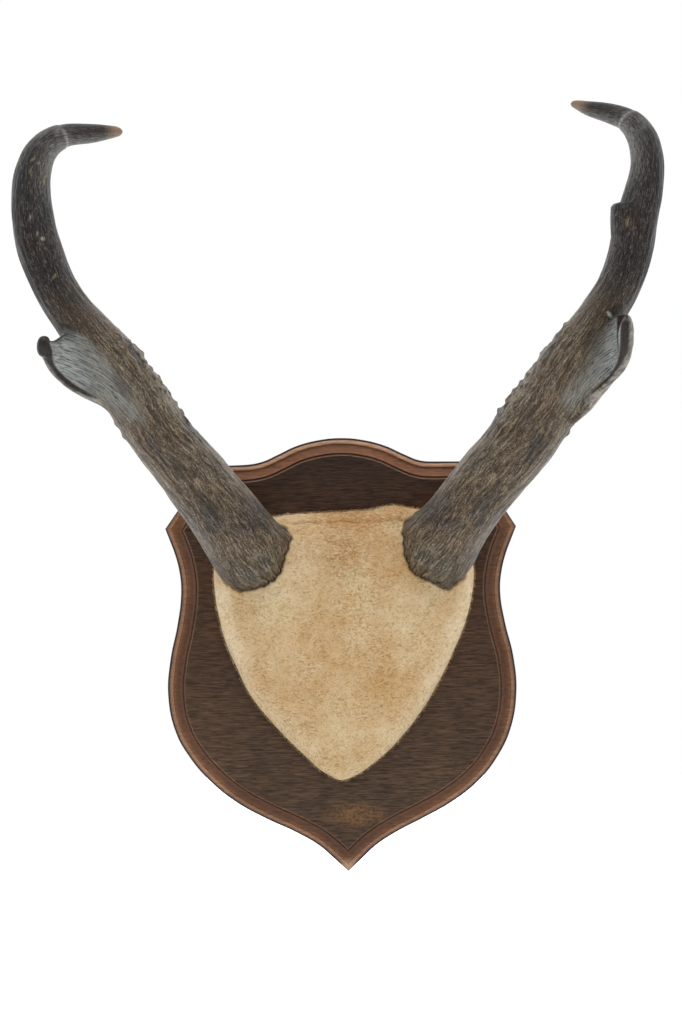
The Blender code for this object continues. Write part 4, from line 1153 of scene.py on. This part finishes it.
    # The small marks are broken up by the fibres that they lie on.
    frayed = add(tree, "MapRange", [fibre, 0.40, 0.56, 0.15, 0.85])
    # The light marks include a painted sheen and a painted reflection; the dark marks are painted shade at
    # the foot, in crevices, under the lip and along the flap, with the dusky streaks.
    for share, strength, tint, broken in ((rim, 0.86, "251F1D", False), (tip, 0.75, "977C62", False),
                                          (golden, 0.6, "9A8A5C", True),
                                          (light, 0.95, "BEBCB3", True), (dark, 0.9, "14110F", False)):
        amount = add(tree, "Math", [share, strength], operation="MULTIPLY")
        if broken:
            amount = add(tree, "Math", [amount, frayed], operation="MULTIPLY")
        colour = add(tree, "MixRGB", [amount, colour, tint])
    dull = add(tree, "MapRange", [strand, 0.35, 0.65, 0.62, 0.44])
    rubbed = add(tree, "MixRGB", [rim, dull, (0.40, 0.40, 0.40, 1.0)])
    grown = add(tree, "MapRange", [rim, 0.0, 1.0, 0.6, 0.25])
    coarse = add(tree, "Bump", {"Strength": grown, "Distance": 0.0009, "Height": strand})
    raised = add(tree, "Bump", {"Strength": grown, "Distance": 0.0005, "Height": fibre, "Normal": coarse})
    connect(shader, {"Base Color": colour, "Roughness": rubbed, "Specular IOR Level": 0.25,
                     "Sheen Weight": 0.05, "Sheen Roughness": 0.25, "Sheen Tint": "E0E2E0",
                     "Normal": raised})
    return made


def buckskin():
    """Smoke-tanned buckskin with its nap up: soft, sandy and without shine.

    The nap shows as short curls lying mostly sideways, with a few brown specks between them.
    """
    made, tree, shader = new_material("smoke_tanned_buckskin")
    place = add(tree, "TexCoord").outputs["Object"]
    touch = add(tree, "Attribute", attribute_name="touch").outputs["Vector"]
    from_horn, stained_share, creased = add(tree, "SeparateXYZ", [touch]).outputs
    cloud = add(tree, "TexNoise", {"Vector": place, "Scale": 30.0, "Detail": 4.0, "Roughness": 0.6})
    # Curls about 2.5 mm long and 1.2 mm wide, with finer ones in them.
    lying = add(tree, "Mapping", {"Vector": place, "Scale": (0.5, 1.0, 1.0)})
    curl = add(tree, "TexNoise", {"Vector": lying, "Scale": 800.0, "Detail": 4.0, "Roughness": 0.75,
                                  "Distortion": 1.2})
    speck = add(tree, "TexNoise", {"Vector": place, "Scale": 1000.0, "Detail": 2.0, "Roughness": 0.6})
    base = add(tree, "ValToRGB", [cloud],
               stops=[(0.32, "C6A371"), (0.42, "CDAE81"), (0.53, "D3B88F"), (0.66, "DAC69F")])
    napped = add(tree, "ValToRGB", [curl],
                 stops=[(0.33, "A88453"), (0.40, "D8C29A"), (0.47, "F4ECDE"), (0.58, "FFFFFF")])
    dots = add(tree, "ValToRGB", [speck], stops=[(0.26, "9A7244"), (0.33, "FFFFFF")])
    # The nap lies smooth in some places and is ruffled in others, in patches of about 20 mm.
    ruffle = add(tree, "TexNoise", {"Vector": place, "Scale": 48.0, "Detail": 3.0})
    ruffled = add(tree, "MapRange", [ruffle, 0.42, 0.58, 0.2, 0.9])
    colour = base
    for layer, strength in ((napped, ruffled), (dots, 0.6)):
        colour = add(tree, "MixRGB", [strength, colour, layer], blend_type="MULTIPLY")
    # Its edges are painted paler as a painted sheen, most at the sides, with a pale patch left of the
    # middle; stain has settled between the curls; the crease and the hide round the horns are painted
    # darker as painted shade.
    edge_sheen_and_pale_patch = add(tree, "Attribute", attribute_name="edge_sheen_and_pale_patch").outputs["Fac"]
    settled = add(tree, "MapRange", [curl, 0.40, 0.54, 1.0, 0.22])
    pale, stain, crease_shade = (add(tree, "Math", pair, operation="MULTIPLY")
                           for pair in ([edge_sheen_and_pale_patch, 0.5], [stained_share, settled], [creased, 0.42]))
    contact = add(tree, "MapRange", [from_horn, 0.0012, 0.0002, 0.0, 0.6])
    for share, tint in ((pale, "F0E2C2"), (stain, "A47743"), (crease_shade, "8E6636"), (contact, "6E5333")):
        colour = add(tree, "MixRGB", [share, colour, tint])
    curled = add(tree, "Bump", {"Strength": 0.55, "Distance": 0.0007, "Height": curl})
    raised = add(tree, "Bump", {"Strength": 0.4, "Distance": 0.0004, "Height": speck, "Normal": curled})
    connect(shader, {"Base Color": colour, "Roughness": 0.95, "Specular IOR Level": 0.2,
                     "Sheen Weight": 0.3, "Sheen Roughness": 0.5, "Sheen Tint": "F0DDB8", "Normal": raised})
    return made


def suede_nap():
    """The loose fibres of buckskin: dull, pale at the tips, with some brown ones among them."""
    made, tree, shader = new_material("raised_suede_nap")
    shade = add(tree, "Attribute", attribute_name="shade").outputs["Fac"]
    place = add(tree, "TexCoord").outputs["Object"]
    cloud = add(tree, "TexNoise", {"Vector": place, "Scale": 30.0, "Detail": 3.0})
    own = add(tree, "ValToRGB", [shade],
              stops=[(0.0, "A07D4E"), (0.10, "BA9866"), (0.4, "CBAE81"), (0.75, "D6BD96"), (1.0, "E8D9B8")])
    tint = add(tree, "ValToRGB", [cloud], stops=[(0.35, "E6C79C"), (0.55, "FFFFFF")])
    colour = add(tree, "MixRGB", [0.8, own, tint], blend_type="MULTIPLY")
    connect(shader, {"Base Color": colour, "Roughness": 0.9, "Specular IOR Level": 0.2})
    return made


def stained_walnut():
    """Walnut, routed, stained dark and waxed.

    Long grain runs sideways with short dark pores; the stain sits darker on the flat face and has
    rubbed thin on one low patch. The moulding's colours hold painted shade in the router's steps
    and painted highlights on the beads, the inner arris and the mitre at the tip; the face holds
    painted shade at the top.
    """
    made, tree, shader = new_material("stained_waxed_walnut")
    place = add(tree, "TexCoord").outputs["Object"]
    edge = add(tree, "Attribute", attribute_name="edge").outputs["Fac"]
    height = add(tree, "SeparateXYZ", [place]).outputs["Z"]
    # Grain lines about 1 mm apart and 15 mm long, and pores less than 1 mm wide and 8 mm long.
    long = add(tree, "Mapping", {"Vector": place, "Scale": (0.07, 0.5, 1.0)})
    grain = add(tree, "TexNoise", {"Vector": long, "Scale": 950.0, "Detail": 4.0, "Roughness": 0.7,
                                   "Distortion": 0.4})
    short = add(tree, "Mapping", {"Vector": place, "Scale": (0.10, 0.6, 1.0)})
    pore = add(tree, "TexNoise", {"Vector": short, "Scale": 1300.0, "Detail": 2.0, "Roughness": 0.5})
    cloud = add(tree, "TexNoise", {"Vector": place, "Scale": 22.0, "Detail": 3.0})
    across = add(tree, "MapRange", [edge, 0.0, 0.012])
    # The ramp across the moulding holds painted light and shade with the stain: partly painted highlights
    # on the bead and the inner arris, painted shade in the step and the quirk.
    rail = add(tree, "ValToRGB", [across], stops=[
        (0.0, "1E140E"), (0.085, "2A1C14"), (0.13, "725442"), (0.19, "8B6752"), (0.29, "9E7659"),
        (0.345, "856046"), (0.40, "755339"), (0.45, "66472F"), (0.52, "64422C"), (0.62, "583A26"),
        (0.72, "5C3C28"), (0.86, "54382A"), (0.935, "6E5440"), (0.965, "5C4334")])
    # Above the shoulders the light falls into the cove, and the two grooves stay dark.
    crown = add(tree, "ValToRGB", [across], stops=[
        (0.0, "1E140E"), (0.09, "241812"), (0.135, "6E4C3A"), (0.25, "74503B"), (0.31, "84593F"),
        (0.37, "68442B"), (0.41, "603C26"), (0.50, "754C31"), (0.66, "764B2E"), (0.76, "7C5034"),
        (0.82, "3E2517"), (0.90, "382215"), (0.94, "7C5E48"), (0.965, "5C4334")])
    shoulder = add(tree, "MapRange", [height, 0.078, 0.095])
    rail = add(tree, "MixRGB", [shoulder, rail, crown])
    # The bead above the shoulders is painted paler, a painted highlight from the light above.
    bead = add(tree, "ValToRGB", [across],
               stops=[(0.10, 0.0), (0.14, 1.0), (0.27, 1.0), (0.31, 0.0)])
    top_bead_highlight = add(tree, "MapRange", [height, 0.085, 0.118, 0.0, 0.8])
    top_bead_highlight = add(tree, "Math", [bead, top_bead_highlight], operation="MULTIPLY")
    rail = add(tree, "MixRGB", [top_bead_highlight, rail, "B48C6E"])
    # The face is painted darkest at the top and lighter and browner towards the tip: painted shade above
    # and painted light from below.
    lower = add(tree, "MapRange", [height, 0.13, -0.10])
    face = add(tree, "ValToRGB", [lower],
               stops=[(0.0, "312117"), (0.35, "473121"), (0.7, "4C3828"), (1.0, "4B392A")])
    on_face = add(tree, "MapRange", [edge, 0.01162, 0.01180])
    board = add(tree, "MixRGB", [on_face, rail, face])
    figure = add(tree, "MapRange", [grain, 0.32, 0.68, 0.42, 1.66])
    # The stain and wax have filled the grain of the moulding, so its figure shows less.
    shows = add(tree, "MapRange", [edge, 0.0112, 0.0118, 0.45, 1.0])
    figured = add(tree, "MixRGB", [shows, board, figure], blend_type="MULTIPLY")
    uneven = add(tree, "MapRange", [cloud, 0.35, 0.65, 0.86, 1.14])
    clouded = add(tree, "MixRGB", [1.0, figured, uneven], blend_type="MULTIPLY")
    pits = add(tree, "MapRange", [pore, 0.40, 0.50, 0.60, 1.08])
    pored = add(tree, "MixRGB", [shows, clouded, pits], blend_type="MULTIPLY")
    # A patch 36 mm wide and 15 mm tall, rubbed through to the golden wood.
    patch = add(tree, "Mapping", {"Vector": place, "Location": (-0.0078 / 0.018, 0.0, 0.1030 / 0.0075),
                                  "Scale": (1 / 0.018, 0.0, 1 / 0.0075)})
    away = add(tree, "VectorMath", [patch], operation="LENGTH")
    near = add(tree, "MapRange", [away.outputs["Value"], 0.2, 1.35, 0.62, 0.0])
    scuff = add(tree, "TexNoise", {"Vector": place, "Scale": 650.0, "Detail": 5.0, "Roughness": 0.85})
    broken = add(tree, "MapRange", [scuff, 0.42, 0.58])
    rubbed = add(tree, "Math", [near, broken], operation="MULTIPLY")
    finished = add(tree, "MixRGB", [rubbed, pored, "946C40"])
    # The mitre at the tip of the moulding is painted pale, a painted highlight.
    tip = add(tree, "VectorMath", [place, (0.0027, -0.0125, -0.1362)], operation="DISTANCE")
    tip_highlight = add(tree, "MapRange", [tip.outputs["Value"], 0.0015, 0.0060, 0.6, 0.0])
    finished = add(tree, "MixRGB", [tip_highlight, finished, "B8977C"])
    waxed = add(tree, "MapRange", [grain, 0.3, 0.7, 0.46, 0.34])
    # The sawn side of the board and its arris took stain but no wax.
    dry = add(tree, "MapRange", [edge, 0.0018, 0.001])
    dried = add(tree, "MixRGB", [dry, waxed, (0.95, 0.95, 0.95, 1.0)])
    raised = add(tree, "Bump", {"Strength": 0.3, "Distance": 0.0003, "Height": pits})
    connect(shader, {"Base Color": finished, "Roughness": dried, "Specular IOR Level": 0.2,
                     "Normal": raised})
    return made


def bare_wood(name, pale, mid, dark, spacing):
    """Sawn and sanded wood without a finish: matt, with soft rings and fine pores."""
    made, tree, shader = new_material(name)
    place = add(tree, "TexCoord").outputs["Object"]
    long = add(tree, "Mapping", {"Vector": place, "Scale": (0.05, 0.6, 1.0)})
    rings = add(tree, "TexNoise", {"Vector": long, "Scale": 1.0 / spacing, "Detail": 4.0, "Roughness": 0.6,
                                   "Distortion": 0.6})
    pore = add(tree, "TexNoise", {"Vector": long, "Scale": 2200.0, "Detail": 2.0})
    base = add(tree, "ValToRGB", [rings], stops=[(0.35, dark), (0.5, mid), (0.64, pale)])
    pits = add(tree, "MapRange", [pore, 0.34, 0.48, 0.7, 1.0])
    pored = add(tree, "MixRGB", [1.0, base, pits], blend_type="MULTIPLY")
    raised = add(tree, "Bump", {"Strength": 0.3, "Distance": 0.0003, "Height": pits})
    connect(shader, {"Base Color": pored, "Roughness": 0.78, "Normal": raised})
    return made


def plated_metal(name, bright, tarnished, smoothest, roughest):
    """Thin plating over steel: a soft metal shine with cloudy tarnish and fine handling marks."""
    made, tree, shader = new_material(name)
    place = add(tree, "TexCoord").outputs["Object"]
    cloud = add(tree, "TexNoise", {"Vector": place, "Scale": 160.0, "Detail": 3.0, "Roughness": 0.5})
    scratch = add(tree, "Mapping", {"Vector": place, "Scale": (0.1, 1.0, 1.0)})
    marks = add(tree, "TexNoise", {"Vector": scratch, "Scale": 3200.0, "Detail": 2.0})
    colour = add(tree, "ValToRGB", [cloud], stops=[(0.38, tarnished), (0.58, bright)])
    rough = add(tree, "MapRange", [cloud, 0.35, 0.65, roughest, smoothest])
    raised = add(tree, "Bump", {"Strength": 0.08, "Distance": 0.00005, "Height": marks})
    connect(shader, {"Base Color": colour, "Metallic": 1.0, "Roughness": rough, "Normal": raised})
    return made


# Studio ---------------------------------------------------------------------------------------

def set_camera():
    camera = linked("camera", bpy.data.cameras.new("camera"))
    camera.data.sensor_width = SENSOR
    camera.data.lens = SENSOR * CAMERA_DISTANCE / VIEW_HEIGHT
    x, z = VIEW_CENTRE
    camera.matrix_world = (Matrix.Translation((x, -SHIELD_THICKNESS - CAMERA_DISTANCE, z))
                           @ Matrix.Rotation(math.radians(90), 4, "X")
                           @ Matrix.Rotation(math.radians(CAMERA_ROLL), 4, "Z"))
    bpy.context.scene.camera = camera


def area_light(name, place, target, size, power):
    light = linked(name, bpy.data.lights.new(name, "AREA"))
    light.data.shape = "SQUARE"
    light.data.size = size
    light.data.energy = power
    light.location = place
    light.rotation_euler = (Vector(target) - Vector(place)).to_track_quat("-Z", "Y").to_euler()


def light_studio():
    """A white sweep behind and at the sides, darker towards the camera, and a softbox overhead."""
    world = bpy.data.worlds.new("white_sweep")
    bpy.context.scene.world = world
    world.use_nodes = True
    tree = world.node_tree
    tree.nodes.clear()
    looking = add(tree, "TexCoord").outputs["Generated"]
    _, back, up = add(tree, "SeparateXYZ", [looking]).outputs
    sides = add(tree, "MapRange", [back, -0.95, -0.1, 0.42, 0.95])
    behind = add(tree, "MapRange", [back, -0.1, 0.45, 0.0, 0.9])
    level = add(tree, "Math", [up], operation="ABSOLUTE")
    above = add(tree, "MapRange", [level, 0.3, 0.9, 0.0, 0.3])
    strength = add(tree, "Math", [sides, behind], operation="ADD")
    strength = add(tree, "Math", [strength, above], operation="ADD")
    seen = add(tree, "LightPath")
    around = add(tree, "Background", {"Color": "FBFCFF", "Strength": strength})
    backdrop = add(tree, "Background", {"Color": "FFFFFF", "Strength": 1.0})
    chosen = add(tree, "MixShader", [seen, around, backdrop])
    add(tree, "OutputWorld", {"Surface": chosen})
    area_light("overhead_softbox", (0.15, -1.35, 1.9), (0.0, -0.05, 0.1), 1.3, 15.0)
    bpy.context.scene.view_settings.view_transform = "Standard"


def make_floor():
    """A pale floor that glows towards the back, a painted light, so it runs into the white sweep without a
    line.
    """
    deselect()
    bpy.ops.mesh.primitive_circle_add(vertices=96, radius=FLOOR_RADIUS, fill_type="NGON",
                                      location=(0.0, 0.0, FLOOR_LEVEL))
    floor = bpy.context.object
    floor.name = "studio_floor"
    made, tree, shader = new_material("matt_white_floor")
    place = add(tree, "TexCoord").outputs["Object"]
    back = add(tree, "SeparateXYZ", [place]).outputs["Y"]
    paint = add(tree, "MapRange", [back, -0.6, 0.5, 0.8, 0.92])
    glow = add(tree, "MapRange", [back, 0.0, 0.6, 0.0, 0.5])
    connect(shader, {"Base Color": paint, "Emission Strength": glow, "Emission Color": "FFFFFF",
                     "Roughness": 0.9, "Specular IOR Level": 0.0})
    floor.data.materials.append(made)


def main():
    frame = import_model()
    nodes = frame["nodes"]
    set_camera()
    light_studio()
    make_floor()
    sheath, hide_finish = horn_sheath(), buckskin()
    wood = [stained_walnut(), bare_wood("bare_walnut", "A98560", "8F6C4A", "73543A", 1.6 * MM)]
    pine = bare_wood("bare_pine", "E6CD9E", "D8B983", "BE955C", 3.5 * MM)
    steel = plated_metal("zinc_plated_steel", "C6C8C8", "8E9092", 0.30, 0.48)
    brass = plated_metal("brassed_steel", "CBA860", "8F7038", 0.28, 0.46)

    ring = np.array(smooth_ring(metres(CAP_OUTLINE), [False] * len(CAP_OUTLINE), CAP_STEPS))
    left = make_horn("pronghorn_left", LEFT_HORN, ring)
    right = make_horn("pronghorn_right", RIGHT_HORN, ring)
    hide, nap, area = make_hide([left, right], ring)
    shield = make_shield()
    finish_piece(left, [sheath], "horn_left")
    finish_piece(right, [sheath], "horn_right")
    finish_piece(hide, [hide_finish], "hide_cover")
    nap.data.materials.append(suede_nap())
    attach(nap, "root")
    finish_piece(shield, wood, "shield_plaque")

    screw = make_cap_screw()
    for side, (x, z) in CAP_SCREWS.items():
        piece = place_copy(screw, "wood_screw_" + side, x * MM, z * MM, math.radians(x))
        finish_piece(piece, [steel], "cap_screw_" + side)
    bpy.data.objects.remove(screw, do_unlink=True)
    strip = rounded_copy(nodes["hanger_strip"], "sawtooth_strip", 0.15 * MM)
    finish_piece(strip, [brass], "hanger_strip")
    for side in ("left", "right"):
        brad = rounded_copy(nodes["hanger_brad_" + side], "hanger_nail_" + side, 0.1 * MM)
        finish_piece(brad, [brass], "hanger_brad_" + side)
    for slot in nodes["skull_cap"].material_slots:
        slot.material = pine


main()
